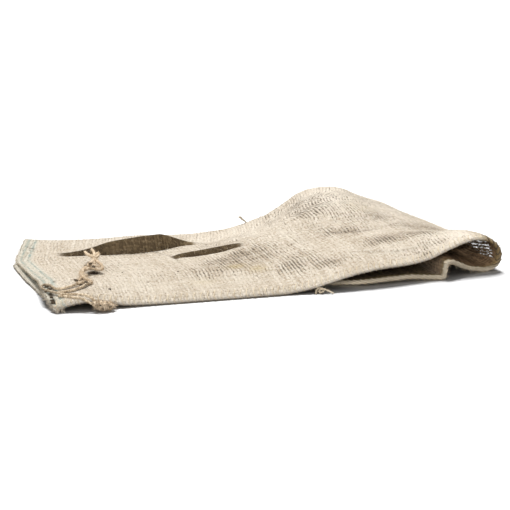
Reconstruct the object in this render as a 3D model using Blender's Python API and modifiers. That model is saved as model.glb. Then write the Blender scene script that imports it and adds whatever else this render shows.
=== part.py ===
"""An empty jute sack lying on the ground, its closed end folded under in a loose roll.

The sack is one pocket of hessian: an outer and an inner layer, joined along the front seam, the
back fold and the bottom seam, and open at the mouth. Lengths are in millimetres here and become
metres in the meshes. X runs along the sack from the mouth to the roll, Y across it from the seam
to the fold, and Z up from the ground.
"""

import bpy
import numpy as np

MM = 0.001
OBJECT = "jute_sack"

# Cloth
CLOTH = 1.6                     # thickness of one layer of hessian
LAYER_GAP = 2.8                 # between the middles of the two layers where they lie together
SEAM_GAP = 3.2                  # the same along the seamed and folded long edges
EDGE_NOSE = 2.0                 # how far those edges bulge past the layers
CONTACT = 0.08                  # what comes this near the ground lies flat on it
GROUND = CLOTH / 2              # height of a layer's middle where it lies on the ground
CENTRE = (265.2, 158.4)         # middle of the sack's plan, moved onto the origin

# Sections across the upper half, from the mouth to the start of the roll: a row for each section.
# hem is the front seam, back the folded edge; the others are heights at the shares named below.
SECTION_COLUMNS = ("x", "hem_y", "hem", "apron", "ridge", "valley", "flank", "crest", "back", "back_y")
SECTIONS = (
    (0, 0, 4.0, 8.0, 14.5, 9.0, 6.0, 6.0, 4.0, 317),
    (14, 0, 8.6, 12.0, 16.0, 10.0, 7.0, 6.0, 4.0, 311),
    (40, 0, 12.3, 16.0, 16.0, 11.0, 8.5, 7.0, 4.0, 301),
    (90, 0, 5.0, 10.0, 13.0, 11.0, 9.0, 8.0, 4.0, 294),
    (150, 0, 4.0, 8.5, 11.0, 11.0, 9.0, 9.0, 4.0, 292),
    (210, 0, 4.0, 8.5, 11.0, 12.0, 10.0, 8.0, 4.5, 286),
    (262, 0, 4.2, 9.0, 12.0, 16.5, 19.0, 15.0, 8.5, 281),
    (300, 0, 8.5, 13.5, 18.5, 22.0, 28.0, 26.0, 15.0, 290),
    (340, 3, 17.0, 21.5, 25.0, 28.0, 40.0, 46.5, 26.0, 297),
    (362, 6, 20.5, 25.0, 28.5, 30.0, 45.0, 61.0, 37.0, 301),
    (388, 9, 24.5, 29.0, 32.5, 33.0, 48.0, 66.0, 42.0, 302),
    (412, 13, 27.7, 32.0, 35.5, 34.5, 48.0, 64.0, 42.0, 302),
    (444, 20, 31.8, 36.0, 38.5, 34.0, 41.0, 52.5, 33.0, 302),
    (476, 26, 38.0, 41.0, 40.5, 30.0, 30.0, 34.0, 17.0, 303),
    (500, 31, 42.0, 44.0, 41.0, 26.0, 22.0, 20.0, 12.5, 304),
    (516, 34, 43.0, 44.5, 40.0, 22.0, 15.0, 12.5, 11.5, 305),
)
SHARES = dict(hem=0.0, apron=0.045, ridge=0.18, valley=0.40, flank=0.60, crest=0.80, back=1.0)

# Two lengthwise pleats stand in the upper layer. Each has a rounded lip, a foot tucked behind it, and a
# wall that leans forward to a sharp top. at is the share of the width where each of these lies, and a row
# of stands gives, at a distance from the mouth, the wall's height and how far back the pleat has wandered.
PLEAT_COLUMNS = ("start", "lip", "foot", "wall", "top", "behind", "end")
PLEATS = (
    dict(
        at=(0.64, 0.675, 0.698, 0.708, 0.722, 0.75, 0.80),
        stands=(
            (36, 0, 0),
            (52, 4, 0),
            (70, 7.5, -3),
            (100, 12.5, -7),
            (125, 16, -8),
            (147, 19, -7),
            (162, 18, -3),
            (182, 12.5, 4),
            (208, 1, 13),
            (225, 0, 12),
        ),
    ),
    dict(
        at=(0.47, 0.515, 0.54, 0.552, 0.565, 0.60, 0.64),
        stands=(
            (150, 0, 0),
            (172, 3.5, 0),
            (190, 4.5, 0),
            (212, 5.5, 3),
            (235, 5, 9),
            (252, 2.5, 12),
            (270, 0, 10),
        ),
    ),
)
LIP_RISE, FOOT_DROP, LEAN, FULL_PLEAT = 0.6, 4.5, 2.0, 7.0
PLEAT_ENDS = (0, 1)

# How far the mouth's two edges stand out from a straight line, by distance from the front seam.
UPPER_MOUTH = ((0, -4), (45, -6), (90, -4), (205, -15), (317, 10))
LOWER_MOUTH = ((0, 0), (90, 0), (118, -6), (212, -15), (317, 10))
MOUTH_REACH = 85

# The roll's outer side, and the sack's bottom seam lying underneath, by distance across
ROLL_SIDE = ((0, 545), (100, 543), (200, 540), (260, 533), (320, 520))
ROLL_WIDTH, ROLL_LEAN = 1.2, 0.6  # of its half height: the roll bulges past its top and leans out below it
BOTTOM_SEAM = ((0, 303), (300, 270))
ROLL_STEPS = 8

# The flap under the roll, from the roll to the bottom seam. tent is a standing crease near the front
# edge, lift is how far that edge clears the ground, and turn is where the inner layer lies beside the
# outer one there: 0 is over it, and -1 is on its mouth side.
FLAP_COLUMNS = ("x", "tent", "hem_y", "lift", "turn")
FLAP_START = 527
FLAP = (
    (515, 2.5, 31, 0, 0.2),
    (500, 7, 26, 0, 0.3),
    (485, 14, 20, 0, 0.3),
    (473, 19, 15, 0, -0.2),
    (468.5, 18, 13.5, 0, -0.9),
    (467, 9, 13, 0, -1),
    (466, 0.5, 13, 0, -1),
    (450, 0, 15, 1, 0),
    (425, 0, 16, 4, 0),
    (395, 0, 13, 4, 0),
    (368, 0, 12, 3, 0),
    (340, 0, 22, 1, 0),
    (320, 0, 30, 0, 0),
    (303, 0, 36, 0, 0),
)
FLAP_BACK_Y = (304, 276)
TENT_REACH = (70, 200)

# The inner layer is on the ground where the hem isn't lifted, and leaves it before the bottom seam below
HEM_REACH = 45
LIFT_OFF = (-48, -12)

# Where the solids are cut into facets
STATIONS = (0, 14, 28, 42, 60, 80, 100, 118, 134, 148, 162, 178, 194, 210, 228, 246, 264, 282, 300, 320,
            340, 358, 376, 394, 412, 430, 448, 466, 484, 500, 516)
COLUMNS = (0, 0.045, 0.10, 0.18, 0.25, 0.33, 0.41, 0.47, 0.515, 0.54, 0.552, 0.565, 0.60, 0.64, 0.675,
           0.698, 0.708, 0.722, 0.75, 0.80, 0.86, 0.93, 1.0)
INNER_COLUMNS = (0, 1, 2, 3, 4, 5, 6, 8, 12, 14, 18, 19, 20, 21, 22)

# Tie: a strand of twine looped round the mouth's front corner, with a shorter strand either side of it
# that comes out of the cloth at the corner. All run to a knot on the sack or one at its front edge.
# A row is a point (x, y, z) of a route. On a knot it has the knot's radius there too.
TWINE = 2.8
TWINE_STEP = 5.5
LOOP_ROUTE = (
    (45.2, 49.6, 19.0), (34.9, 41.7, 18.9), (24.5, 34.9, 18.6), (16.0, 31.8, 17.9), (10.2, 33.4, 17.5),
    (7.0, 40.5, 17.8), (4.4, 47.5, 18.2), (0.0, 50.8, 18.2), (-4.4, 47.6, 17.6), (-4.4, 41.0, 16.9),
    (0.0, 33.0, 16.4), (8.1, 22.3, 16.3), (17.9, 12.9, 16.4), (31.4, 7.4, 16.7), (41.2, 1.8, 15.6),
    (46.8, -6.1, 12.0),
)
BACK_ROUTE = (
    (49.3, 46.3, 19.2), (36.0, 27.2, 18.7), (26.3, 21.3, 18.1), (17.6, 22.3, 16.9), (11.8, 23.7, 16.2),
)
FRONT_ROUTE = (
    (9.8, 15.0, 14.6), (16.0, 9.3, 15.1), (26.6, 1.9, 14.9), (34.0, -2.8, 13.8), (39.0, -7.0, 11.6),
    (43.9, -9.8, 9.6),
)
BACK_KNOT = (
    (47, 49, 20, 2.0), (51, 52, 21.6, 4.2), (56, 57, 21.6, 4.4), (62, 64, 19.8, 3.2),
    (65, 79, 17.6, 2.2), (64, 96, 17.0, 2.2), (66, 112, 17.6, 4.0), (70, 123, 19.0, 5.2),
    (71, 131, 23.0, 3.4), (70, 137, 27.0, 1.8),
)
FRONT_KNOT = (
    (45, -8.6, 9.5, 2.2), (50, -8.9, 7.5, 5), (56, -8.9, 6, 5.8), (62, -8.7, 5.6, 5), (68, -8, 5.2, 2.2),
)
KNOT_STEP = 2.5

# The sewing thread's tail runs from the bottom seam's front corner, along the ground and out past the hem.
THREAD = 1.8
TAIL_ROUTE = ((304, 31.8, 1.1), (306, 21, 1.1), (305.5, 9, 1.1), (306.5, 0, 1.1), (305.7, -5.8, 1.3))
TAIL_KNOT = ((304, -9, 2.4, 1.6), (306.5, -8.6, 3.4, 3.0), (310, -8.8, 3.0, 2.6), (313, -9.6, 2.2, 1.4))
TAIL_STEP = 4.0


def eased(knots, at):
    """A smooth curve through (place, value) knots that never overshoots them, read at one or more places."""
    place, value = np.array(knots, float).T
    at = np.clip(at, place[0], place[-1])
    step = np.diff(place)
    slope = np.diff(value) / step
    tangent = np.zeros(len(place))
    tangent[0], tangent[-1] = slope[0], slope[-1]
    for k in range(1, len(place) - 1):
        if slope[k - 1] * slope[k] > 0:
            before, after = 2 * step[k] + step[k - 1], step[k] + 2 * step[k - 1]
            tangent[k] = (before + after) / (before / slope[k - 1] + after / slope[k])
    k = np.clip(np.searchsorted(place, at, side="right") - 1, 0, len(place) - 2)
    t = (at - place[k]) / step[k]
    return (
        (2 * t**3 - 3 * t**2 + 1) * value[k]
        + (t**3 - 2 * t**2 + t) * step[k] * tangent[k]
        + (3 * t**2 - 2 * t**3) * value[k + 1]
        + (t**3 - t**2) * step[k] * tangent[k + 1]
    )


def ramp(start, end, at):
    """0 before start, 1 after end, and smooth between."""
    t = np.clip((at - start) / (end - start), 0, 1)
    return t * t * (3 - 2 * t)


def section(x, columns):
    """Across-positions and heights of the upper layer at one section."""
    row = {name: eased([(r[0], r[k]) for r in SECTIONS], x) for k, name in enumerate(SECTION_COLUMNS)}
    height = eased([(share, row[name]) for name, share in SHARES.items()], columns)
    across = row["hem_y"] + (row["back_y"] - row["hem_y"]) * columns
    for pleat in PLEATS:
        rise = eased([(at, high) for at, high, _ in pleat["stands"]], x)
        back = eased([(at, back) for at, _, back in pleat["stands"]], x) * ramp(*PLEAT_ENDS, rise)
        part = min(1.0, rise / FULL_PLEAT)
        lean = LEAN * part
        up = (0, LIP_RISE * part, -FOOT_DROP * part, 0.42 * rise, rise, 0.45 * rise, 0)
        over = (0, back + lean / 2, back + lean, back + lean, back - lean, 0.5 * back, 0)
        height = height + eased(list(zip(pleat["at"], up)), columns)
        across = across + eased(list(zip(pleat["at"], over)), columns)
    return across, height


def roll_start(columns):
    """Where the roll's half circle starts in each column: x, across, height and radius."""
    across, height = section(SECTIONS[-1][0], columns)
    radius = (height - GROUND) / 2
    return eased(ROLL_SIDE, across) - (ROLL_WIDTH + ROLL_LEAN / 2) * radius, across, height, radius


def upper_rows(stations, columns):
    """The outer layer from the mouth to the roll."""
    start_x = roll_start(columns)[0]
    last = SECTIONS[-1][0]
    rows = []
    for x in stations:
        across, height = section(x, columns)
        along = x + np.interp(across, *np.array(UPPER_MOUTH, float).T) * (1 - ramp(0, MOUTH_REACH, x))
        along = along + (start_x - last) * ramp(400, last, x)
        rows.append(np.stack([along, across, height], axis=1))
    return rows


def roll_rows(steps, columns):
    """The outer layer round the roll: a half circle in each column."""
    x, across, _, radius = roll_start(columns)
    turn = np.pi * np.arange(1, steps + 1) / steps
    return [
        np.stack(
            [
                x + radius * (ROLL_WIDTH * np.sin(a) + ROLL_LEAN * a / np.pi),
                across,
                GROUND + radius * (1 + np.cos(a)),
            ],
            axis=1,
        )
        for a in turn
    ]


def flap_rows(flap, columns):
    """The outer layer under the roll, from the roll to the bottom seam."""
    start_x, _, _, radius = roll_start(columns)
    start_x = start_x + ROLL_LEAN * radius
    first, last = FLAP_START, FLAP[-1][0]
    rows = []
    for x, tent, hem_y, lift, _ in flap:
        share = (first - x) / (first - last)
        back_y = FLAP_BACK_Y[0] + (FLAP_BACK_Y[1] - FLAP_BACK_Y[0]) * share
        across = hem_y + (back_y - hem_y) * columns
        near = 1 - ramp(*TENT_REACH, across)
        seam_x = eased(BOTTOM_SEAM, across)
        along = near * x + (1 - near) * (start_x + (seam_x - start_x) * share)
        height = GROUND + tent * near + lift * (1 - ramp(0, 40, across - hem_y))
        rows.append(np.stack([along, across, height], axis=1))
    return rows


def ground_row(x, columns):
    """The inner layer at one section of the mouth half, where it lies on the ground under the outer one."""
    across, height = section(x, columns)
    flat = across[0] + (across[-1] - across[0]) * columns
    along = x + np.interp(flat, *np.array(LOWER_MOUTH, float).T) * (1 - ramp(0, MOUTH_REACH, x))
    hem = height[0] - SEAM_GAP - GROUND
    return np.stack([along, flat, GROUND + hem * (1 - ramp(0, HEM_REACH, flat - flat[0]))], axis=1)


def inner_rows(outer, stations, columns):
    """The inner layer: on the ground in the mouth half, and a layer's gap inside the outer one elsewhere."""
    along, over = np.gradient(outer, axis=0), np.gradient(outer, axis=1)
    over[:, [0, -1]] = (0, 1, 0)
    normal = np.cross(along, over)
    normal /= np.linalg.norm(normal, axis=2, keepdims=True)
    gap = np.full(len(columns), LAYER_GAP)
    gap[[0, -1]] = SEAM_GAP
    inner = outer - normal * gap[:, None]
    first_flap = len(outer) - len(FLAP)
    for j, (_, _, _, _, turn) in enumerate(FLAP, first_flap):
        near = 1 - ramp(*TENT_REACH, outer[j, :, 1])
        inner[j] = outer[j] + np.stack([gap * turn * near, 0 * gap, gap], axis=1)
    for j, x in enumerate(stations):
        ground = ground_row(x, columns)
        lifted = ramp(*LIFT_OFF, x - eased(BOTTOM_SEAM, ground[:, 1]))[:, None]
        inner[j] = ground * (1 - lifted) + inner[j] * lifted
    return inner


def pocket(outer, inner, inner_columns):
    """Vertices and faces of the one skin: a ring round both layers at each row, and the bottom seam."""
    lower = inner[:, list(inner_columns)][:, ::-1]
    front = (outer[:, 0] + inner[:, 0]) / 2 - (0, EDGE_NOSE, 0)
    back = (outer[:, -1] + inner[:, -1]) / 2 + (0, EDGE_NOSE, 0)
    rings = np.concatenate([front[:, None], outer, back[:, None], lower], axis=1)
    rows, around = rings.shape[:2]
    faces = []
    for j in range(rows - 1):
        for i in range(around):
            k = (i + 1) % around
            faces.append((j * around + i, (j + 1) * around + i, (j + 1) * around + k, j * around + k))
    # The bottom seam joins the last ring's two layers, point by point from the front nose to the back one.
    end = (rows - 1) * around
    top = [end + i for i in range(1, outer.shape[1] + 1)]
    under = [end + around - 1 - i for i in range(len(inner_columns))]
    faces.append((top[0], end, under[0]))
    faces.append((end + outer.shape[1] + 1, top[-1], under[-1]))
    points = rings.reshape(-1, 3)
    i = j = 0
    while i < len(top) - 1 or j < len(under) - 1:
        more_top, more_under = i < len(top) - 1, j < len(under) - 1
        if not more_under or (more_top and points[top[i + 1], 1] <= points[under[j + 1], 1]):
            faces.append((top[i + 1], top[i], under[j]))
            i += 1
        else:
            faces.append((top[i], under[j], under[j + 1]))
            j += 1
    return points, faces


def placed(points):
    """Working millimetres to metres about the part's origin."""
    return (np.asarray(points, float) - (*CENTRE, 0)) * MM


def material(name, colour, roughness):
    made = bpy.data.materials.new(name)
    made.use_nodes = True
    shader = made.node_tree.nodes["Principled BSDF"]
    shader.inputs["Base Color"].default_value = (*colour, 1)
    shader.inputs["Roughness"].default_value = roughness
    made.diffuse_color = (*colour, 1)
    return made


def add(obj, surface, collection):
    obj.data.materials.append(surface)
    collection.objects.link(obj)
    return obj


def press_flat(cloth):
    """Gives the cloth its thickness for good, and lays what is within CONTACT of the ground flat on it."""
    graph = bpy.context.evaluated_depsgraph_get()
    cloth.data = bpy.data.meshes.new_from_object(cloth.evaluated_get(graph))
    cloth.modifiers.clear()
    for vertex in cloth.data.vertices:
        if vertex.co.z < CONTACT * MM:
            vertex.co.z = 0


def sack(surface, collection):
    columns = np.array(COLUMNS, float)
    rows = upper_rows(STATIONS, columns) + roll_rows(ROLL_STEPS, columns) + flap_rows(FLAP, columns)
    outer = np.array(rows)
    inner = inner_rows(outer, STATIONS, columns)
    points, faces = pocket(outer, inner, INNER_COLUMNS)
    mesh = bpy.data.meshes.new("sack_cloth")
    mesh.from_pydata(placed(points).tolist(), [], faces)
    mesh.shade_smooth()
    cloth = add(bpy.data.objects.new("sack_cloth", mesh), surface, collection)
    thick = cloth.modifiers.new("cloth thickness", "SOLIDIFY")
    thick.thickness = CLOTH * MM
    thick.offset = 0
    thick.use_even_offset = True
    thick.use_quality_normals = True
    thick.use_rim = True
    press_flat(cloth)
    return cloth


def route(knots, step):
    """Points about a step apart along a smooth curve through the knots, whose columns are read alike."""
    knots = np.array(knots, float)
    along = np.concatenate([[0], np.cumsum(np.linalg.norm(np.diff(knots[:, :3], axis=0), axis=1))])
    at = np.linspace(0, along[-1], max(3, round(along[-1] / step) + 1))
    tangent = np.gradient(knots, along, axis=0)
    k = np.clip(np.searchsorted(along, at, side="right") - 1, 0, len(knots) - 2)
    length = (along[k + 1] - along[k])[:, None]
    t = (at - along[k])[:, None] / length
    return (
        (2 * t**3 - 3 * t**2 + 1) * knots[k]
        + (t**3 - 2 * t**2 + t) * length * tangent[k]
        + (3 * t**2 - 2 * t**3) * knots[k + 1]
        + (t**3 - t**2) * length * tangent[k + 1]
    )


def tube(name, rows, step, surface, collection, radius=None):
    """A filled tube along a route, of one radius or of the radius in each row."""
    points = route(rows, step)
    curve = bpy.data.curves.new(name, "CURVE")
    curve.dimensions = "3D"
    curve.bevel_depth = MM
    curve.bevel_resolution = 2
    curve.use_fill_caps = True
    spline = curve.splines.new("POLY")
    spline.points.add(len(points) - 1)
    for point, row in zip(spline.points, points):
        point.co = (*placed(row[:3]), 1)
        point.radius = radius or row[3]
    spline.use_smooth = True
    return add(bpy.data.objects.new(name, curve), surface, collection)


def tie(surface, collection):
    tube("tie_twine_loop", LOOP_ROUTE, TWINE_STEP, surface, collection, TWINE / 2)
    tube("tie_twine_back", BACK_ROUTE, TWINE_STEP, surface, collection, TWINE / 2)
    tube("tie_twine_front", FRONT_ROUTE, TWINE_STEP, surface, collection, TWINE / 2)
    tube("tie_knot_back", BACK_KNOT, KNOT_STEP, surface, collection)
    tube("tie_knot_front", FRONT_KNOT, KNOT_STEP, surface, collection)


def seam_tail(surface, collection):
    tube("seam_tail", TAIL_ROUTE, TAIL_STEP, surface, collection, THREAD / 2)
    tube("seam_tail_knot", TAIL_KNOT, KNOT_STEP, surface, collection)


def main():
    for obj in list(bpy.data.objects):
        bpy.data.objects.remove(obj, do_unlink=True)
    part = bpy.data.collections.new(OBJECT)
    bpy.context.scene.collection.children.link(part)
    sack(material("jute_cloth", (0.66, 0.54, 0.38), 0.95), part)
    tie(material("jute_twine", (0.60, 0.44, 0.25), 0.9), part)
    seam_tail(material("sewing_thread", (0.66, 0.55, 0.40), 0.9), part)


main()
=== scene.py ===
"""Looks of an empty jute sack that lies with its closed end folded under in a loose roll.

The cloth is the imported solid's pocket, cut finer, with its small creases, its weave, its seam and its
selvedge. Working lengths are in millimetres about a corner of the sack's plan, as in the part's source:
X runs from the mouth to the roll, Y from the seam to the fold, and Z up from the ground.
"""

import math

import bpy
import numpy as np
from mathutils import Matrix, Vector, noise

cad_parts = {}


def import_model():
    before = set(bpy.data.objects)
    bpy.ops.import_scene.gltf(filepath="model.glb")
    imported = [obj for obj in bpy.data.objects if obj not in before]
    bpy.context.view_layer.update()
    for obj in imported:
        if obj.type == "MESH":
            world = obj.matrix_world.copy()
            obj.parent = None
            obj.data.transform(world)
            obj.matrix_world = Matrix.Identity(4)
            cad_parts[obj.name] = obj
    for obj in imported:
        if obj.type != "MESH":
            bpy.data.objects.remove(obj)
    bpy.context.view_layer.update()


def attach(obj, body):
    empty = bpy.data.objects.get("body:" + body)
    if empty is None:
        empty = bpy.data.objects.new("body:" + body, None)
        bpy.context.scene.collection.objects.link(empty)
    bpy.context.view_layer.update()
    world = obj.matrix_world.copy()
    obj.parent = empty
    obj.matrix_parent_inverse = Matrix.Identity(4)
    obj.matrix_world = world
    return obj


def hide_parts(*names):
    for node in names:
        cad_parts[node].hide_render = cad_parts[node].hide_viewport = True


MM = 0.001

# Camera, fitted to the sack's outline, and lights: where from, strength and spread in degrees
VIEW_AZIMUTH, VIEW_ELEVATION = -15.0, 15.0
VIEW_DISTANCE, VIEW_TARGET = 1900.0, (259.4, 107.7, 20.0)
LENS, SENSOR = 111.95, 36.0
PHOTO_LENS, PHOTO_MIDDLE = 1586.0, 255.0  # that lens and the photo's middle, in pixels of the photo
KEY_LIGHT = (0.04, 0.48, 0.87), 5.1, 30
FILL_LIGHT = (-0.40, -0.86, 0.34), 2.9, 50
SKY_LOW, SKY_HIGH, SKY_STRENGTH = (0.14, 0.14, 0.14, 1), (0.30, 0.30, 0.305, 1), 0.7
FLOOR_REACH, FLOOR_SEEN, FLOOR_BOUNCE, BOUNCE_DEPTH = 70.0, 0.94, 0.80, 0.0003

# Cloth
GROUND = 0.8                    # height of the solid's lowest layer's middle
LAYER_GAP = 2.8                 # between the middles of the two layers where they lie together
SEAM_GAP = 3.2                  # the same along the seamed and folded long edges
EDGE_NOSE = 2.0                 # how far those edges bulge past the layers
CENTRE = (265.2, 158.4)         # middle of the sack's plan, moved onto the origin
ROW_STEP, COLUMN_STEP, INNER_STEP = 3.3, 2.8, 6.0  # the finer grid: along, across, and across the inner layer
SHEET = 1.3                     # thickness of the cloth that shows
REST = SHEET / 2 + 0.05         # lowest height of a layer's middle

# Sections across the upper half, from the mouth to the start of the roll: a row for each section.
# hem is the front seam, back the folded edge; the others are heights at the shares named below.
SECTION_COLUMNS = ("x", "hem_y", "hem", "apron", "ridge", "valley", "flank", "crest", "back", "back_y")
SECTIONS = (
    (0, 0, 4.0, 8.0, 14.5, 9.0, 6.0, 6.0, 4.0, 317),
    (14, 0, 8.6, 12.0, 16.0, 10.0, 7.0, 6.0, 4.0, 311),
    (40, 0, 12.3, 16.0, 16.0, 11.0, 8.5, 7.0, 4.0, 301),
    (90, 0, 5.0, 10.0, 13.0, 11.0, 9.0, 8.0, 4.0, 294),
    (150, 0, 4.0, 8.5, 11.0, 11.0, 9.0, 9.0, 4.0, 292),
    (210, 0, 4.0, 8.5, 11.0, 12.0, 10.0, 8.0, 4.5, 286),
    (262, 0, 4.2, 9.0, 12.0, 16.5, 19.0, 15.0, 8.5, 281),
    (300, 0, 8.5, 13.5, 18.5, 22.0, 28.0, 26.0, 15.0, 290),
    (340, 3, 17.0, 21.5, 25.0, 28.0, 40.0, 46.5, 26.0, 297),
    (362, 6, 20.5, 25.0, 28.5, 30.0, 45.0, 61.0, 37.0, 301),
    (388, 9, 24.5, 29.0, 32.5, 33.0, 48.0, 66.0, 42.0, 302),
    (412, 13, 27.7, 32.0, 35.5, 34.5, 48.0, 64.0, 42.0, 302),
    (444, 20, 31.8, 36.0, 38.5, 34.0, 41.0, 52.5, 33.0, 302),
    (476, 26, 38.0, 41.0, 40.5, 30.0, 30.0, 34.0, 17.0, 303),
    (500, 31, 42.0, 44.0, 41.0, 26.0, 22.0, 20.0, 12.5, 304),
    (516, 34, 43.0, 44.5, 40.0, 22.0, 15.0, 12.5, 11.5, 305),
)
SHARES = dict(hem=0.0, apron=0.045, ridge=0.18, valley=0.40, flank=0.60, crest=0.80, back=1.0)

# Two lengthwise pleats stand in the upper layer. Each has a rounded lip, a foot tucked behind it, and a
# wall that leans forward to a sharp top. at is the share of the width where its start, lip, foot, wall,
# top, the place behind it and its end lie. A row of stands gives, at a distance from the mouth, the
# wall's height and how far back the pleat has wandered.
PLEATS = (
    dict(
        at=(0.64, 0.675, 0.698, 0.708, 0.722, 0.75, 0.80),
        stands=(
            (36, 0, 0), (44, 1.1, -1), (56, 2.3, -3), (70, 5.3, -5), (100, 15, -10), (125, 17.8, -10),
            (147, 19.4, -8), (160, 19.1, -4), (170, 16.4, 1), (182, 11.5, 7), (208, 1.6, 15), (225, 0, 14),
        ),
    ),
    dict(
        at=(0.47, 0.515, 0.54, 0.552, 0.565, 0.60, 0.64),
        stands=(
            (160, 0, 0), (176, 2.4, 0), (192, 4.6, 0), (212, 5.6, 3), (235, 4.4, 9), (252, 2, 12),
            (270, 0, 10),
        ),
    ),
)
LIP_RISE, FOOT_DROP, LEAN, FULL_PLEAT = 0.6, 4.5, 2.0, 7.0
PLEAT_CUT = 0.004  # shares beside the foot and the top where the grid is cut too

# How far the mouth's two edges stand out from a straight line, by distance from the front seam
UPPER_MOUTH = ((0, -4), (45, -6), (90, -4), (205, -15), (317, 10))
LOWER_MOUTH = ((0, 0), (90, 0), (118, -6), (212, -15), (317, 10))
MOUTH_REACH = 85
MOUTH_LIP, MOUTH_LIFT = 5.8, 1.8  # how far the lower cloth stands out past the upper, and up
LIP_DEPTH, LIP_STARTS, LIP_STOPS = 34, (48, 80), (196, 214)  # how far in that reaches, and where across
CORNER_IN = 5.0                 # how far the worn front corner stands back
CORNER_ACROSS, CORNER_ALONG = (4, 36), (0, 26)  # where that fades out

# The roll's outer side, and the sack's bottom seam lying underneath, by distance across
ROLL_SIDE = ((0, 545), (100, 543), (200, 540), (260, 533), (320, 520))
ROLL_WIDTH, ROLL_LEAN = 1.2, 0.6  # of its half height: the roll bulges past its top and leans out below it
PULL_FROM = 400                 # sections past here move along to meet the roll
BOTTOM_SEAM = ((0, 303), (300, 270))
ROLL_STEPS = 8

# The flap under the roll, from the roll to the bottom seam: x, tent, hem_y, lift, turn. tent is a standing
# crease near the front edge, lift is how far that edge clears the ground, and turn is where the inner
# layer lies beside the outer one there: 0 is over it, and -1 is on its mouth side.
FLAP_START = 527
FLAP = (
    (515, 2.5, 31, 0, 0.2), (500, 7, 26, 0, 0.3), (485, 14, 20, 0, 0.3), (473, 19, 15, 0, -0.2),
    (468.5, 18, 13.5, 0, -0.9), (467, 9, 13, 0, -1), (466, 0.5, 13, 0, -1), (450, 0, 15, 1, 0),
    (425, 0, 16, 4, 0), (395, 0, 13, 4, 0), (368, 0, 12, 3, 0), (340, 0, 22, 1, 0), (320, 0, 30, 0, 0),
    (303, 0, 36, 0, 0),
)
FLAP_BACK_Y = (304, 276)
TENT_REACH, LIFT_REACH = (70, 200), 40

# The inner layer is on the ground where the hem isn't lifted, and leaves it before the bottom seam below
HEM_REACH = 45
LIFT_OFF = (-48, -12)

# Where the solids are cut into facets
STATIONS = (
    0, 14, 28, 42, 60, 80, 100, 118, 134, 148, 162, 178, 194, 210, 228, 246, 264, 282, 300, 320, 340, 358,
    376, 394, 412, 430, 448, 466, 484, 500, 516,
)
COLUMNS = (
    0, 0.045, 0.10, 0.18, 0.25, 0.33, 0.41, 0.47, 0.515, 0.54, 0.552, 0.565, 0.60, 0.64, 0.675, 0.698,
    0.708, 0.722, 0.75, 0.80, 0.86, 0.93, 1.0,
)
INNER_COLUMNS = [0, 1, 2, 3, 4, 5, 6, 8, 12, 14, 18, 19, 20, 21, 22]

# Tie: a strand of twine looped round the mouth's front corner, with a shorter strand either side of it
# that comes out of the cloth at the corner. All run to a knot on the sack or one at its front edge.
# A row is a point (x, y, z) of a route. On a knot it has the knot's radius there too.
TWINE, THREAD = 2.8, 1.8
TWINE_TWIST, THREAD_TWIST = 8.0, 5.0
LOOP_ROUTE = (
    (45.2, 49.6, 19.0), (34.9, 41.7, 18.9), (24.5, 34.9, 18.6), (16.0, 31.8, 17.9), (10.2, 33.4, 17.5),
    (7.0, 40.5, 17.8), (4.4, 47.5, 18.2), (0.0, 50.8, 18.2), (-4.4, 47.6, 17.6), (-4.4, 41.0, 16.9),
    (0.0, 33.0, 16.4), (8.1, 22.3, 16.3), (17.9, 12.9, 16.4), (31.4, 7.4, 16.7), (41.2, 1.8, 15.6),
    (46.8, -6.1, 12.0),
)
LOOP_DARK_BEFORE = 6.0          # the loop is in its own shade nearer the mouth than this
BACK_ROUTE = (
    (49.3, 46.3, 19.2), (36.0, 27.2, 18.7), (26.3, 21.3, 18.1), (17.6, 22.3, 16.9), (11.8, 23.7, 16.2),
)
FRONT_ROUTE = (
    (9.8, 15.0, 14.6), (16.0, 9.3, 15.1), (26.6, 1.9, 14.9), (34.0, -2.8, 13.8), (39.0, -7.0, 11.6),
    (43.9, -9.8, 9.6),
)
FRONT_KNOT = (
    (45, -8.6, 9.5, 2.2), (50, -8.9, 7.5, 5), (56, -8.9, 6, 5.8), (62, -8.7, 5.6, 5), (68, -8, 5.2, 2.2),
)
# The strands and frayed prongs of the knot on the sack, picked in the photo: a point is a pixel's
# place across and down, and a height. Each strand has its diameter, and how far it lies below its heights.
FAR_STRANDS = (
    (4.4, 0.5, ((94, 256.5, 26.5), (93.4, 259, 25.5), (93.8, 261.5, 24.5), (94.8, 264, 22.5))),
    (4.0, 0.0, ((95, 257.5, 26), (93.5, 260.5, 25), (90.5, 263, 24), (87, 266.5, 23), (83.8, 269.5, 22),
                (82.2, 272.5, 21.5), (83, 276, 20.5), (85.2, 279.2, 19.5))),
    (3.8, 0.0, ((93.2, 258.5, 26), (95.6, 260.2, 25), (99, 263, 23.5), (102, 266, 21.5),
                (102.6, 268.4, 19.5), (99.5, 269.3, 19.5), (95, 268.7, 20.5), (90, 268.2, 21.5),
                (85.5, 269.8, 21.5), (81.4, 271.6, 20))),
    (3.4, 0.0, ((99.5, 267.2, 20), (95.5, 265.6, 22), (91, 265.2, 22.5), (86.5, 267.6, 21.5),
                (82.8, 270.6, 20))),
    (3.8, 0.0, ((81.2, 272.2, 20), (82.6, 276.2, 22), (86.2, 279.2, 21.2), (89.6, 280.4, 20),
                (91.6, 281.6, 18.6), (88.6, 283.4, 18.4))),
    (3.4, 0.0, ((86.8, 275.6, 19.5), (83.2, 277, 22.2), (79.8, 279, 21), (77.6, 281, 19),
                (80.2, 282.6, 18.6), (84.6, 281.4, 19.6))),
)
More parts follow.
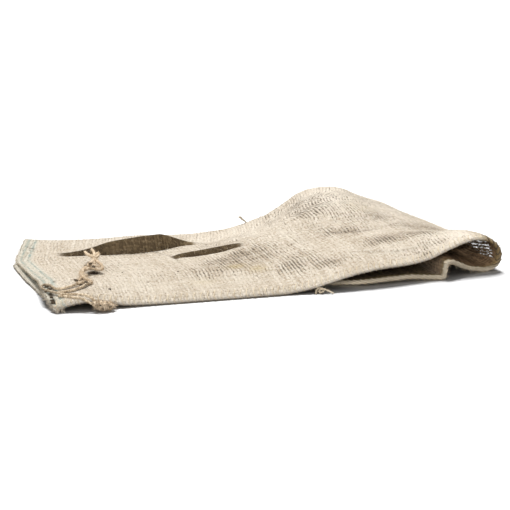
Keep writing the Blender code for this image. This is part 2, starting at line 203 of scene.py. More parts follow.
FAR_PRONGS = (
    ((94.4, 257, 26), (91.2, 256, 26.5), (87.6, 254.4, 28), (84.8, 251.8, 29.5)),
    ((94, 257, 26.4), (94.2, 253.6, 28.5), (93, 250.8, 30.5), (91.3, 249, 32)),
    ((94.6, 257, 26), (96, 254.6, 27.5), (98.4, 252.4, 29.5)),
    ((94.8, 258, 25.6), (97.6, 256.2, 26.5), (99, 253.8, 28)),
)
PRONG = 4.4
# The sewing thread's tail runs from the bottom seam's front corner, along the ground and out past the hem
TAIL_ROUTE = ((304, 31.8, 1.1), (306, 21, 1.1), (305.5, 9, 1.1), (306.5, 0, 1.1), (305.7, -5.8, 1.3))
TAIL_STRANDS = (
    ((301, -6.5, 1), (302, -3.5, 3), (305, -2, 5.5), (308, -3.5, 6), (311, -5.5, 4), (307, -7, 2.2),
     (304.5, -4, 2.6)),
    ((305, -4, 3.5), (309, -5, 5.5), (313.5, -6, 4.2), (317, -8, 2.6), (320.5, -10.5, 1.2)),
)
BACK_THREAD = ((295, 284, 15), (293, 284, 18), (289.5, 283, 20.5), (286.5, 282, 23.5), (285, 281.5, 24.5))

# Small random ups and downs all over the cloth: height, size along and across, and seed
CRINKLE = ((0.8, (70, 34), 3.1), (0.55, (26, 17), 8.7), (0.3, (9, 12), 5.3))

# Long soft creases in the upper cloth: width, height, and the places (x, y) that each passes
CREASES = (
    (5.0, 1.6, ((244, 75), (261, 83), (279, 87), (300, 96), (321, 104), (340, 116))),
    (6.0, 1.8, ((358, 152), (385, 145), (412, 141), (447, 154), (487, 190))),
    (5.0, -1.5, ((362, 136), (385, 131), (412, 127))),
    (6.0, 1.4, ((490, 72), (449, 55), (414, 45), (382, 53), (354, 69))),
    (5.0, 1.0, ((-8, 226), (16, 221), (42, 212))),
    (3.5, -1.2, ((150, 188), (159, 184), (173, 160), (172, 119))),
    (4.0, -1.3, ((258, 152), (272, 149), (297, 131), (321, 116))),
    (5.0, 1.0, ((60, 95), (120, 78), (180, 84), (225, 100))),
    (4.0, -0.9, ((90, 60), (150, 48), (215, 52), (262, 40))),
    (6.0, 1.3, ((300, 190), (335, 200), (372, 196), (405, 203))),
    (5.0, -1.2, ((310, 232), (345, 238), (390, 232))),
    (5.0, 1.1, ((430, 250), (455, 220), (478, 200))),
    (4.0, 0.9, ((230, 240), (262, 215), (290, 205))),
    (4.0, 0.8, ((20, 280), (80, 268), (150, 262))),
)

# Patches of the upper cloth: place (x, y), reach along and across, and how much. SETTLES is where it lies
# lower or higher than the solid, OPEN_PATCHES where the weave has opened, and the third where painted light
# makes it paler.
SETTLES = (
    (440, 16, 48, 48, -6.5), (440, 236, 26, 36, -6.5), (330, 252, 26, 36, 3.5), (150, 276, 26, 30, 3.5),
)
OPEN_PATCHES = (
    (222, 114, 26, 20, 1.2), (252, 130, 26, 16, 1.3), (290, 58, 24, 22, 1.0), (304, 82, 24, 12, 0.6),
    (359, 202, 30, 22, 1.0), (348, 218, 20, 18, 0.7), (420, 84, 30, 16, 1.3), (400, 76, 24, 12, 0.8),
    (493, 145, 34, 28, 0.9), (462, 92, 30, 18, 1.2), (472, 42, 22, 10, 0.6), (438, 27, 26, 8, 0.5),
    (379, 135, 26, 14, 0.6), (8, 262, 9, 26, 0.4), (225, 83, 30, 20, 0.7), (442, 178, 26, 18, 0.8),
    (394, 193, 30, 14, 0.5), (200, 62, 34, 16, 0.5), (332, 42, 30, 12, 0.6), (268, 106, 30, 16, 0.8),
    (535, 60, 16, 60, 0.8),
)
PAINTED_LIGHT_PATCHES = (
    (385, 212, 60, 40, 0.9), (262, 232, 55, 40, 0.5), (500, 50, 40, 40, 0.8), (440, 205, 40, 40, 0.5),
    (455, 40, 40, 30, 0.4),
)
STAINS = (
    (231, 88, 11, 8.8, 0.55), (253, 70, 12, 9.6, 0.5), (180, 40, 16, 12.8, 0.2), (420, 200, 24, 19.2, 0.15),
)

# Lines of painted shade along small folds: width, strength, and the places that each passes
PAINTED_CREASE_SHADE_LINES = (
    (1.6, 1.0, ((346, 146), (362, 139), (385, 134), (412, 131), (430, 133))),
    (1.5, 0.8, ((196, 122), (225, 118), (262, 121))),
    (1.6, 0.7, ((143, 199), (159, 184), (173, 160), (172, 119))),
    (1.5, 0.6, ((354, 63), (382, 47), (414, 39), (449, 48))),
)

# Spots of painted shadow under and between the knot's strands and in small holes in the cloth: place (x, y),
# reach along and across, and how dark
PAINTED_SHADOW_SPOTS = (
    (63.3, 105, 8.8, 13, 1.0), (37, 68, 3.4, 4.5, 0.8), (50, 64, 3.0, 5.5, 0.8), (68.5, 140, 6.0, 9, 1.0),
    (68.1, 157, 4.5, 8, 0.9), (3, 26, 3.2, 7, 0.9), (3.5, 11, 3.2, 7, 1.0), (12.1, 255.5, 1.8, 6, 0.6),
    (11.7, 65.8, 1.6, 5, 0.6), (7.5, 262, 1.2, 9, 0.4),
)

# Shade on the roll: its end in x and z, the seam's band round that in y, and the thin place in its wall by
# where it starts in x, its low and high ends in z, and its front and back in y
END_OF_ROLL, RIM_BAND = ((517, 527), (3, 8)), (11, 17)
THIN_PLACE = ((516, 526), (5, 12), (32, 38), (38, 55), (125, 150))
TURNED_STAIN = 0.42             # on the front edge of the turned cloth
# How dark the painted shade deep inside each pleat is, where the far one starts across, and where it gets
# lighter along
NEAR_PLEAT_SHADE, FAR_PLEAT_SHADE, FAR_PLEAT_FROM, FAR_PLEAT_FADES = 0.4, 0.62, 185, (70, 118)

# Overcast stitches of the front seam, and the turned-in edge that stands above the single cloth
STITCH_PITCH, STITCH_REACH, STITCH_SLANT, STITCH_RADIUS = 7.4, 10.5, 3.6, 0.58
HEM_RISE, HEM_WIDTH, HEM_EASE = 0.9, 12.0, 1.5

# Loose fibres: on the cloth, at the corner of each layer, along the lower lip, and in the corner's tuft
CLOTH_FIBRES, CORNER_FIBRES, LIP_FIBRES, TUFT_FIBRES = 4600, 84, 150, 56
TIE_SEED, STITCH_SEED, FIBRE_SEED, CORNER_SEED = 41, 5, 12, 29  # of the random draws

# Dark bits put on the knots as painted shade between their strands: from, to, and diameter
KNOT_SHADE_BITS = (
    ((56.8, 96.5, 26.3), (60.0, 94.0, 26.6), 2.6), ((59.2, 86.5, 25.6), (62.4, 83.8, 25.2), 2.5),
    ((65.2, 146.5, 27.6), (66.4, 149.0, 27.8), 2.4), ((31.8, 41.5, 23.4), (35.5, 39.5, 23.2), 2.6),
    ((42.0, 35.5, 22.6), (45.2, 33.0, 22.2), 2.4), ((57.2, -12.5, 9.6), (60.0, -11.8, 9.8), 2.0),
    ((50.5, -13.4, 8.6), (53.0, -13.6, 7.6), 1.8), ((61.5, -13.2, 5.4), (64.2, -12.0, 6.6), 1.8),
    ((52.0, 98.0, 24.0), (55.0, 96.5, 24.6), 2.0),
)
# Dark bits put on the cloth as painted shade in its small holes: place (x, y) and diameter
CLOTH_SHADE_BITS = (
    (1.3, 48, 2.6), (3.6, 41, 3.0), (-1.5, 36, 2.0), (2.6, 19.5, 2.2), (1.6, 15.0, 1.8), (2.9, 7.4, 2.8),
    (69.1, 27.1, 1.8), (37, 68, 1.6), (50, 64, 1.6), (118, 52, 1.2), (160, 84, 1.2), (96, 96, 1.0),
)

# Yarns: spacing, and how far from the mouth's edge its coloured lines lie and half how wide they are
WARP_PITCH, WEFT_PITCH = 3.5 * MM, 4.2 * MM
SELVEDGE_LINES = ((6.0, 1.6), (15.0, 1.8))

# Colours
JUTE_LIGHT, JUTE_DEEP, JUTE_GAP_SHADE = (0.588, 0.528, 0.442), (0.38, 0.31, 0.23), (0.06, 0.042, 0.026)
JUTE_SUNK_SHADE, JUTE_PROUD_HIGHLIGHT, PAINTED_LIGHT_COLOUR = (0.22, 0.17, 0.115), (0.70, 0.64, 0.55), (0.83, 0.76, 0.66)
# Painted shade: browns for inside the pleats and inside the roll, and the dark of the painted shadow spots
PAINTED_FOLD_SHADE, PAINTED_FOLD_SHADE_DEEP, PAINTED_FOLD_SHADE_LIT = (0.15, 0.105, 0.055), (0.07, 0.047, 0.025), (0.25, 0.185, 0.105)
PAINTED_FOLD_SHADE_GAP, PAINTED_ROLL_SHADE, PAINTED_ROLL_SHADE_DEEP = (0.03, 0.02, 0.012), (0.27, 0.17, 0.09), (0.10, 0.06, 0.03)
PAINTED_ROLL_SHADE_GAP, PAINTED_SPOT_SHADOW_DARK, SPECK = (0.03, 0.018, 0.01), (0.035, 0.024, 0.015), (0.12, 0.08, 0.045)
SELVEDGE_STRIP, SELVEDGE_BLUE, STAIN = (0.36, 0.42, 0.37), (0.21, 0.27, 0.245), (0.42, 0.32, 0.13)
YARN_SHADE = (0.06, 0.042, 0.025)
# Yarn materials: name, light and deep colours, and the scales of its fine and coarse flecks
TWINE_LOOK = "jute_twine_fibres", (0.68, 0.57, 0.42), (0.22, 0.15, 0.085), 700.0, 260.0
KNOT_LOOK = "jute_knot_fibres", (0.73, 0.61, 0.46), (0.44, 0.32, 0.20), 900.0, 200.0
THREAD_LOOK = "sewing_thread_fibres", (0.68, 0.60, 0.46), (0.46, 0.37, 0.26), 900.0, 90.0
HAIR_LOOK = "loose_jute_fibres", (0.66, 0.58, 0.45), (0.46, 0.37, 0.25), 900.0, 90.0
FRAYED_LOOK = "frayed_jute_yarn", (0.76, 0.69, 0.58), (0.50, 0.41, 0.30), 900.0, 90.0


def ramp(start, end, at):
    """0 before start, 1 after end, and smooth between."""
    t = np.clip((at - start) / (end - start), 0, 1)
    return t * t * (3 - 2 * t)


def fade(start, end, at):
    """1 before start, 0 after end, and smooth between."""
    return 1 - ramp(start, end, at)


def hermite(t, step, one, slope_one, two, slope_two):
    """A cubic from one value to another over a step, with its slope at both, read at shares t of the step."""
    return (
        (2 * t**3 - 3 * t**2 + 1) * one
        + (t**3 - 2 * t**2 + t) * step * slope_one
        + (3 * t**2 - 2 * t**3) * two
        + (t**3 - t**2) * step * slope_two
    )


def smooth_along(values, place, at):
    """Rows read between the given ones along the first axis, smoothly and with no overshoot."""
    spread = (-1,) + (1,) * (values.ndim - 1)
    step = np.diff(place).reshape(spread)
    slope = np.diff(values, axis=0) / step
    tangent = np.zeros_like(values)
    tangent[0], tangent[-1] = slope[0], slope[-1]
    before, after = slope[:-1], slope[1:]
    same = before * after > 0
    one, two = 2 * step[1:] + step[:-1], step[1:] + 2 * step[:-1]
    safe_before, safe_after = np.where(same, before, 1), np.where(same, after, 1)
    tangent[1:-1] = np.where(same, (one + two) / (one / safe_before + two / safe_after), 0)
    k = np.clip(np.searchsorted(place, at, side="right") - 1, 0, len(place) - 2)
    t = ((at - place[k]) / np.diff(place)[k]).reshape(spread)
    return hermite(t, step[k], values[k], tangent[k], values[k + 1], tangent[k + 1])


def eased(knots, at):
    """A smooth curve through (place, value) knots that never overshoots them, read at one or more places."""
    place, value = np.array(knots, float).T
    at = np.clip(at, place[0], place[-1])
    return smooth_along(value, place, np.ravel(at)).reshape(np.shape(at))


def running(lengths):
    """Distance from the start at the ends of a row of lengths."""
    return np.concatenate([[0], np.cumsum(lengths)])


def run_along(points):
    """Distance from the start at each point of a line."""
    return running(np.linalg.norm(np.diff(points, axis=0), axis=1))


def route(knots, step):
    """Points about a step apart along a smooth curve through the knots, whose columns are read alike."""
    knots = np.array(knots, float)
    along = run_along(knots[:, :3])
    at = np.linspace(0, along[-1], max(3, round(along[-1] / step) + 1))
    tangent = np.gradient(knots, along, axis=0)
    k = np.clip(np.searchsorted(along, at, side="right") - 1, 0, len(knots) - 2)
    length = (along[k + 1] - along[k])[:, None]
    t = (at - along[k])[:, None] / length
    return hermite(t, length, knots[k], tangent[k], knots[k + 1], tangent[k + 1])


def placed(points):
    """Working millimetres to metres about the part's origin."""
    return (np.asarray(points, float) - (*CENTRE, 0)) * MM


# ---------------------------------------------------------------- the pocket's shape, as in the part's source


def stand(pleat, x):
    """A pleat's height and how far back it has wandered, at distances from the mouth."""
    return [eased([(row[0], row[k]) for row in pleat["stands"]], x) for k in (1, 2)]


def section(x, columns):
    """Across-positions and heights of the upper layer at one section."""
    row = {name: eased([(r[0], r[k]) for r in SECTIONS], x) for k, name in enumerate(SECTION_COLUMNS)}
    height = eased([(share, row[name]) for name, share in SHARES.items()], columns)
    across = row["hem_y"] + (row["back_y"] - row["hem_y"]) * columns
    for pleat in PLEATS:
        rise, back = stand(pleat, x)
        back = back * ramp(0, 1, rise)
        part = min(1.0, rise / FULL_PLEAT)
        lean = LEAN * part
        up = (0, LIP_RISE * part, -FOOT_DROP * part, 0.42 * rise, rise, 0.45 * rise, 0)
        over = (0, back + lean / 2, back + lean, back + lean, back - lean, 0.5 * back, 0)
        height = height + eased(list(zip(pleat["at"], up)), columns)
        across = across + eased(list(zip(pleat["at"], over)), columns)
    return across, height


def mouth_out(edge, across, x):
    """How far along the mouth's edge moves a section at x."""
    return np.interp(across, *np.array(edge, float).T) * fade(0, MOUTH_REACH, x)


def roll_start(columns):
    """Where the roll's half circle starts in each column: x, across and radius."""
    across, height = section(SECTIONS[-1][0], columns)
    radius = (height - GROUND) / 2
    return eased(ROLL_SIDE, across) - (ROLL_WIDTH + ROLL_LEAN / 2) * radius, across, radius


def upper_rows(columns):
    """The outer layer from the mouth to the roll."""
    start_x = roll_start(columns)[0]
    last = SECTIONS[-1][0]
    rows = []
    for x in STATIONS:
        across, height = section(x, columns)
        along = x + mouth_out(UPPER_MOUTH, across, x) + (start_x - last) * ramp(PULL_FROM, last, x)
        rows.append(np.stack([along, across, height], axis=1))
    return rows


def roll_rows(columns):
    """The outer layer round the roll: a half circle in each column."""
    x, across, radius = roll_start(columns)
    rows = []
    for a in np.pi * np.arange(1, ROLL_STEPS + 1) / ROLL_STEPS:
        along = x + radius * (ROLL_WIDTH * np.sin(a) + ROLL_LEAN * a / np.pi)
        rows.append(np.stack([along, across, GROUND + radius * (1 + np.cos(a))], axis=1))
    return rows


def flap_rows(columns):
    """The outer layer under the roll, from the roll to the bottom seam."""
    start_x, _, radius = roll_start(columns)
    start_x = start_x + ROLL_LEAN * radius
    rows = []
    for x, tent, hem_y, lift, _ in FLAP:
        share = (FLAP_START - x) / (FLAP_START - FLAP[-1][0])
        back_y = FLAP_BACK_Y[0] + (FLAP_BACK_Y[1] - FLAP_BACK_Y[0]) * share
        across = hem_y + (back_y - hem_y) * columns
        near = fade(*TENT_REACH, across)
        seam_x = eased(BOTTOM_SEAM, across)
        along = near * x + (1 - near) * (start_x + (seam_x - start_x) * share)
        height = GROUND + tent * near + lift * fade(0, LIFT_REACH, across - hem_y)
        rows.append(np.stack([along, across, height], axis=1))
    return rows


def ground_row(x, columns):
    """The inner layer at one section of the mouth half, where it lies on the ground under the outer one."""
    across, height = section(x, columns)
    flat = across[0] + (across[-1] - across[0]) * columns
    along = x + mouth_out(LOWER_MOUTH, flat, x)
    hem = height[0] - SEAM_GAP - GROUND
    return np.stack([along, flat, GROUND + hem * fade(0, HEM_REACH, flat - flat[0])], axis=1)


def normals(grid, level_edges=False):
    """Outward directions of a grid of points, straight up from its edge columns if those are level."""
    along, over = np.gradient(grid, axis=0), np.gradient(grid, axis=1)
    if level_edges:
        over[:, [0, -1]] = (0, 1, 0)
    normal = np.cross(along, over)
    return normal / np.maximum(np.linalg.norm(normal, axis=2, keepdims=True), 1e-9)


def inner_rows(outer, columns):
    """The inner layer: on the ground in the mouth half, and a layer's gap inside the outer one elsewhere."""
    gap = np.full(len(columns), LAYER_GAP)
    gap[[0, -1]] = SEAM_GAP
    inner = outer - normals(outer, level_edges=True) * gap[:, None]
    for j, (_, _, _, _, turn) in enumerate(FLAP, len(outer) - len(FLAP)):
        near = fade(*TENT_REACH, outer[j, :, 1])
        inner[j] = outer[j] + np.stack([gap * turn * near, 0 * gap, gap], axis=1)
    for j, x in enumerate(STATIONS):
        ground = ground_row(x, columns)
        lifted = ramp(*LIFT_OFF, x - eased(BOTTOM_SEAM, ground[:, 1]))[:, None]
        inner[j] = ground * (1 - lifted) + inner[j] * lifted
    return inner


# ---------------------------------------------------------------- the cloth that shows


def between(place, lengths, step):
    """The given places, and others between them about a step apart by the gaps' real lengths."""
    at = [place[0]]
    for k, length in enumerate(lengths):
        parts = max(1, round(length / step))
        at += [place[k] + (place[k + 1] - place[k]) * (i + 1) / parts for i in range(parts)]
    return np.array(at)


def gaps(grid, axis):
    """Distances between neighbouring points along an axis of the grid."""
    return np.linalg.norm(np.diff(grid, axis=axis), axis=2)


def along_axis(grid, axis):
    """Distance run along an axis of the grid at each of its points."""
    run = np.cumsum(gaps(grid, axis), axis=axis)
    start = np.zeros_like(run[:1] if axis == 0 else run[:, :1])
    return np.concatenate([start, run], axis=axis)


def finer(grid, rows, rows_at, columns, columns_at):
    """A grid of points read smoothly at other places along both of its ways."""
    across = smooth_along(grid, rows, rows_at).swapaxes(0, 1)
    return smooth_along(across, columns, columns_at).swapaxes(0, 1)


def bumps(along, across, size, seed):
    """Soft random ups and downs, about -1 to 1, by distances on the cloth."""
    flat = np.stack([along.ravel() / size[0], across.ravel() / size[1]], axis=1)
    read = [noise.noise(Vector((a, b, seed))) for a, b in flat]
    return np.array(read).reshape(along.shape)


def near_line(x, y, line, width):
    """How near each place is to a line of places: 1 on it, and fading past its width and at its ends."""
    best, inside = np.full(x.shape, 1e9), np.zeros(x.shape)
    run = run_along(np.array(line, float))
    for k, ((ax, ay), (bx, by)) in enumerate(zip(line, line[1:])):
        long = run[k + 1] - run[k]
        t = np.clip(((x - ax) * (bx - ax) + (y - ay) * (by - ay)) / long**2, 0, 1)
        away = np.hypot(x - ax - t * (bx - ax), y - ay - t * (by - ay))
        at = (run[k] + t * long) / run[-1]
        inside = np.where(away < best, np.clip(np.minimum(at, 1 - at) * 5, 0, 1), inside)
        best = np.minimum(best, away)
    return np.exp(-((best / width) ** 2)) * inside


def patches(x, y, places):
    """How much each soft patch gives at each place."""
    return [
        much * np.exp(-(((x - px) / reach_x) ** 2 + ((y - py) / reach_y) ** 2))
        for px, py, reach_x, reach_y, much in places
    ]


def strongest(layers):
    """The most that any of the layers gives at each place, and at least nothing."""
    return np.max([np.zeros(layers[0].shape), *layers], axis=0)


def cloth_layers():
    """The two layers on the finer grid, each with where its points lie along and across the flat cloth."""
    columns = np.array(COLUMNS, float)
    outer = np.array(upper_rows(columns) + roll_rows(columns) + flap_rows(columns))
    inner = inner_rows(outer, columns)
    long, wide = gaps(outer, 0), gaps(outer, 1)
    row_place = running(long.mean(axis=1))
    column_place = running(wide[: len(STATIONS)].mean(axis=0))
    upper_end = row_place[len(STATIONS) - 1]
    rows_at = between(row_place, long.max(axis=1) * 0.5 + long.mean(axis=1) * 0.5, ROW_STEP)
    outer_at = between(column_place, wide.max(axis=0) * 0.6 + wide.mean(axis=0) * 0.4, COLUMN_STEP)
    beside = [at for pleat in PLEATS for at in (pleat["at"][2] - PLEAT_CUT, pleat["at"][4] + PLEAT_CUT)]
    outer_at = np.unique(np.concatenate([outer_at, np.interp(beside, columns, column_place)]))
    inner_at = np.linspace(0, column_place[-1], round(column_place[-1] / INNER_STEP))
    upper = fade(upper_end - 10, upper_end + 20, rows_at)[:, None]
    past = (np.arange(len(rows_at)) > np.searchsorted(rows_at, upper_end))[:, None]
    layers = []
    for grid, places, at, free_from in (
        (outer, column_place, outer_at, (1.2, 6.0)),
        (inner[:, INNER_COLUMNS], column_place[INNER_COLUMNS], inner_at, (3.0, 8.0)),
    ):
        fine = finer(grid, row_place, rows_at, places, at)
        along, across = along_axis(fine, 0), along_axis(fine, 1)
        height = sum(high * bumps(along, across, size, seed) for high, size, seed in CRINKLE)
        x, y = fine[:, :, 0], fine[:, :, 1]
        fine[:, :, 2] += sum(patches(x, y, SETTLES)) * upper * ramp(0, 6, fine[:, :, 2] - GROUND)
        height = height + sum(high * near_line(x, y, line, width) for width, high, line in CREASES) * upper
        height = height + HEM_RISE * fade(HEM_WIDTH - HEM_EASE, HEM_WIDTH + HEM_EASE, across)
        free = ramp(*free_from, fine[:, :, 2] - GROUND)
        if layers:
            free = free * np.where(past, 1.0, ramp(*LIFT_OFF, x - eased(BOTTOM_SEAM, y)))
        layers.append((fine + normals(fine) * (height * free)[:, :, None], along, across))
    lower, along, _ = layers[1]
    depth = lower[:, :, 1]
    stands_out = fade(0, LIP_DEPTH, along) * ramp(*LIP_STARTS, depth) * fade(*LIP_STOPS, depth)
    lower[:, :, 0] -= MOUTH_LIP * stands_out
    lower[:, :, 2] += MOUTH_LIFT * stands_out
    for grid, along, _ in layers:
        corner = fade(*CORNER_ACROSS, grid[:, :, 1]) * fade(*CORNER_ALONG, along)
        grid[:, :, 0] += (CORNER_IN + 1.2 * np.sin(grid[:, :, 1] * 0.9)) * corner
        grid[:, :, 2] = np.maximum(grid[:, :, 2], REST)
    return layers, rows_at, row_place, np.interp(outer_at, column_place, columns)


def ring_faces(rows, around):
    """Quads between neighbouring rings of points."""
    faces = []
    for j in range(0, (rows - 1) * around, around):
        for i in range(around):
            k = (i + 1) % around
            faces.append((j + i, j + around + i, j + around + k, j + k))
    return faces


def seam_faces(points, end, around, over, under):
    """Triangles that join the last ring's two layers along the bottom seam."""
    top = [end + i for i in range(1, over + 1)]
    low = [end + around - 1 - i for i in range(under)]
    faces = [(top[0], end, low[0]), (end + over + 1, top[-1], low[-1])]
    i = j = 0
    while i < len(top) - 1 or j < len(low) - 1:
        more_top, more_low = i < len(top) - 1, j < len(low) - 1
        if not more_low or (more_top and points[top[i + 1], 1] <= points[low[j + 1], 1]):
            faces.append((top[i + 1], top[i], low[j]))
            i += 1
        else:
            faces.append((top[i], low[j], low[j + 1]))
            j += 1
    return faces


def fold_shade(rows_at, row_place, shares):
    """How far each point of the outer layer lies inside a pleat, 0 to 1."""
    station = np.interp(rows_at, row_place[: len(STATIONS)], STATIONS)
    shade = np.zeros((len(rows_at), len(shares)))
    for pleat in PLEATS:
        rise, _ = stand(pleat, station)
        foot, top = pleat["at"][2], pleat["at"][4]
        within = ramp(foot - 0.002, foot, shares) * fade(top, top + 0.002, shares)
        shade = np.maximum(shade, ramp(0.9, 1.9, rise)[:, None] * within[None, :])
    return shade


def thin_place(points):
    """The roll's outer wall, where the weave is so open that the light comes through both layers."""
    x, y, z = points.T
    starts, low, high, front, back = THIN_PLACE
    return ramp(*starts, x) * ramp(*low, z) * fade(*high, z) * ramp(*front, y) * fade(*back, y)


def end_of_roll(points):
    """The roll's outer end, which lies in its own shade."""
    starts, low = END_OF_ROLL
    return ramp(*starts, points[..., 0]) * ramp(*low, points[..., 2])


def rim_shade(rows_at, row_place, across):
    """The dark band that the seam's edge shows round the roll's end."""
    first = row_place[len(STATIONS) - 1]
    last = row_place[len(STATIONS) + ROLL_STEPS - 1]
    turn = ramp(first - 2, first + 8, rows_at) * fade(last - 16, last - 4, rows_at)
    return turn[:, None] * fade(*RIM_BAND, across)


def link(name, data, surface=None):
    """A new object in the scene, with its material."""
    made = bpy.data.objects.new(name, data)
    if surface:
        data.materials.append(surface)
    bpy.context.scene.collection.objects.link(made)
    return made


def build_cloth(surface):
    """The weave's sheet: rings round the two layers from mouth to seam, closed along the bottom seam."""
    layers, rows_at, row_place, shares = cloth_layers()
    upper_end = row_place[len(STATIONS) - 1]
    (outer, out_along, out_across), (inner, in_along, in_across) = layers
    front = (outer[:, 0] + inner[:, 0]) / 2 - (0, EDGE_NOSE, 0)
    front[:, 1] += 0.9 * bumps(out_along[:, 0], 0 * out_along[:, 0], (7, 7), 2.2)
    back = (outer[:, -1] + inner[:, -1]) / 2 + (0, EDGE_NOSE, 0)
    rings = np.concatenate([front[:, None], outer, back[:, None], inner[:, ::-1]], axis=1)
    rings[:, :, 2] = np.maximum(rings[:, :, 2], REST)
    rows, around = rings.shape[:2]
    on_outer, on_inner = slice(1, outer.shape[1] + 1), slice(outer.shape[1] + 2, None)
    points = rings.reshape(-1, 3)
    faces = ring_faces(rows, around)
    closing = np.arange(around - 1, len(faces), around)
    faces += seam_faces(points, (rows - 1) * around, around, outer.shape[1], inner.shape[1])
    mesh = bpy.data.meshes.new("sack_weave")
    mesh.from_pydata(placed(points).tolist(), [], faces)

    # The flat cloth: the closing quads of each ring run on past its end, and not back to its start
    width = out_across[:, -1:]
    past_fold = width + 2 * SEAM_GAP + (in_across[:, -1:] - in_across[:, ::-1])
    across = np.concatenate([0 * width - SEAM_GAP, out_across, width + SEAM_GAP, past_fold], axis=1)
    along = np.concatenate([out_along[:, :1], out_along, out_along[:, -1:], in_along[:, ::-1]], axis=1)
    flat = np.stack([across.ravel(), along.ravel()], axis=1) * MM
    corners = np.empty(len(mesh.loops), np.int32)
    mesh.loops.foreach_get("vertex_index", corners)
    uv = flat[corners]
    ends = (4 * closing[:, None] + np.arange(4)).ravel()
    ends = ends[corners[ends] % around == 0]
    uv[ends, 0] = flat[corners[ends] + around - 1, 0] + SEAM_GAP * MM
    mesh.uv_layers.new(name="flat_cloth").data.foreach_set("uv", uv.ravel())

    # Marks on the upper cloth, and the turned rows past it
    x, y = rings[:, :, 0], rings[:, :, 1]
    turned = rows_at > upper_end
    upper = np.zeros((rows, around))
    upper[:, on_outer] = (rows_at < upper_end)[:, None]
    # Painted light: paler patches on the hump, the neck and the band, and along the front edges and the
    # turned rows
    painted_light = strongest(patches(x, y, PAINTED_LIGHT_PATCHES)) * upper
    painted_light[:, :2] = np.where(turned, 1.0, 0.8)[:, None]
    painted_light[turned, 2] = 1.0
    painted_light[turned, -2:] = 1.0
    stain = strongest(patches(x, y, STAINS)) * upper
    stain[turned, :3] = TURNED_STAIN
    stain[turned, -2:] = TURNED_STAIN
    # Painted shade along small folds
    crease_shade = strongest([much * near_line(x, y, line, wide) for wide, much, line in PAINTED_CREASE_SHADE_LINES]) * upper
    # Painted shadow spots under and between the knot's strands and in small holes in the cloth
    shadow_spots = strongest([
        much * fade(0.7, 1.15, np.hypot((x - hx) / along_x, (y - hy) / along_y))
        for hx, hy, along_x, along_y, much in PAINTED_SHADOW_SPOTS
    ]) * upper

    # Shade inside the pleats, on the seam's edge round the roll, and inside the pocket
    shade, deep = np.zeros((2, rows, around))
    pleats = fold_shade(rows_at, row_place, shares)
    rim = rim_shade(rows_at, row_place, out_across) * end_of_roll(outer)
    shade[:, on_outer] = np.maximum(pleats, rim)
    shade[:, 0] = rim[:, 0]
    # Painted shade that deepens the inside of each pleat
    far_pleat = FAR_PLEAT_SHADE * fade(*FAR_PLEAT_FADES, outer[:, :, 0])
    deep[:, on_outer] = pleats * np.where(outer[:, :, 1] > FAR_PLEAT_FROM, far_pleat, NEAR_PLEAT_SHADE)
    under = (rows_at < upper_end)[:, None] * ramp(-0.5, 1.0, in_across)
    inside = np.maximum(np.maximum(ramp(0.0, 3.0, in_across), under), end_of_roll(inner))
    shade[:, on_inner] = (ramp(6, 45, in_along) * inside)[:, ::-1]
    # Painted shade inside the roll, kept apart from that of the pleats
    roll_shade_part = shade * ramp(450, 470, x)
    roll_shade_part[:, on_outer] = 0
    seam = np.concatenate([0 * width, out_across, width + 99, in_across[:, ::-1]], axis=1)
    for name, values in (
        ("openness", strongest(patches(x, y, OPEN_PATCHES)) * upper),
        ("stain", stain),
        ("painted_light", painted_light),
        ("crease_shade", crease_shade),
        ("painted_spot_shadow", np.maximum(shadow_spots, deep)),
        ("thin", thin_place(points)),
        ("fold_shade", shade - roll_shade_part),
        ("roll_painted_shade", roll_shade_part),
        ("from_seam", seam * MM),
    ):
        attribute = mesh.attributes.new(name, "FLOAT", "POINT")
        attribute.data.foreach_set("value", values.ravel().astype(np.float32))
    mesh.shade_smooth()
    cloth = link("sack_weave", mesh, surface)
    thick = cloth.modifiers.new("thickness", "SOLIDIFY")
    thick.thickness = SHEET * MM
    thick.offset = 0
    thick.use_even_offset = False
    return cloth, layers


# ---------------------------------------------------------------- materials


class Wire:
    """One output of a shader node, which arithmetic turns into more nodes."""

    def __init__(self, nodes, socket):
        self.nodes, self.socket = nodes, socket

    def __add__(self, other):
        return self.nodes.math("ADD", self, other)

    def __sub__(self, other):
        return self.nodes.math("SUBTRACT", self, other)

    def __rsub__(self, other):
        return self.nodes.math("SUBTRACT", other, self)

    def __mul__(self, other):
        return self.nodes.math("MULTIPLY", self, other)

    def __truediv__(self, other):
        return self.nodes.math("DIVIDE", self, other)


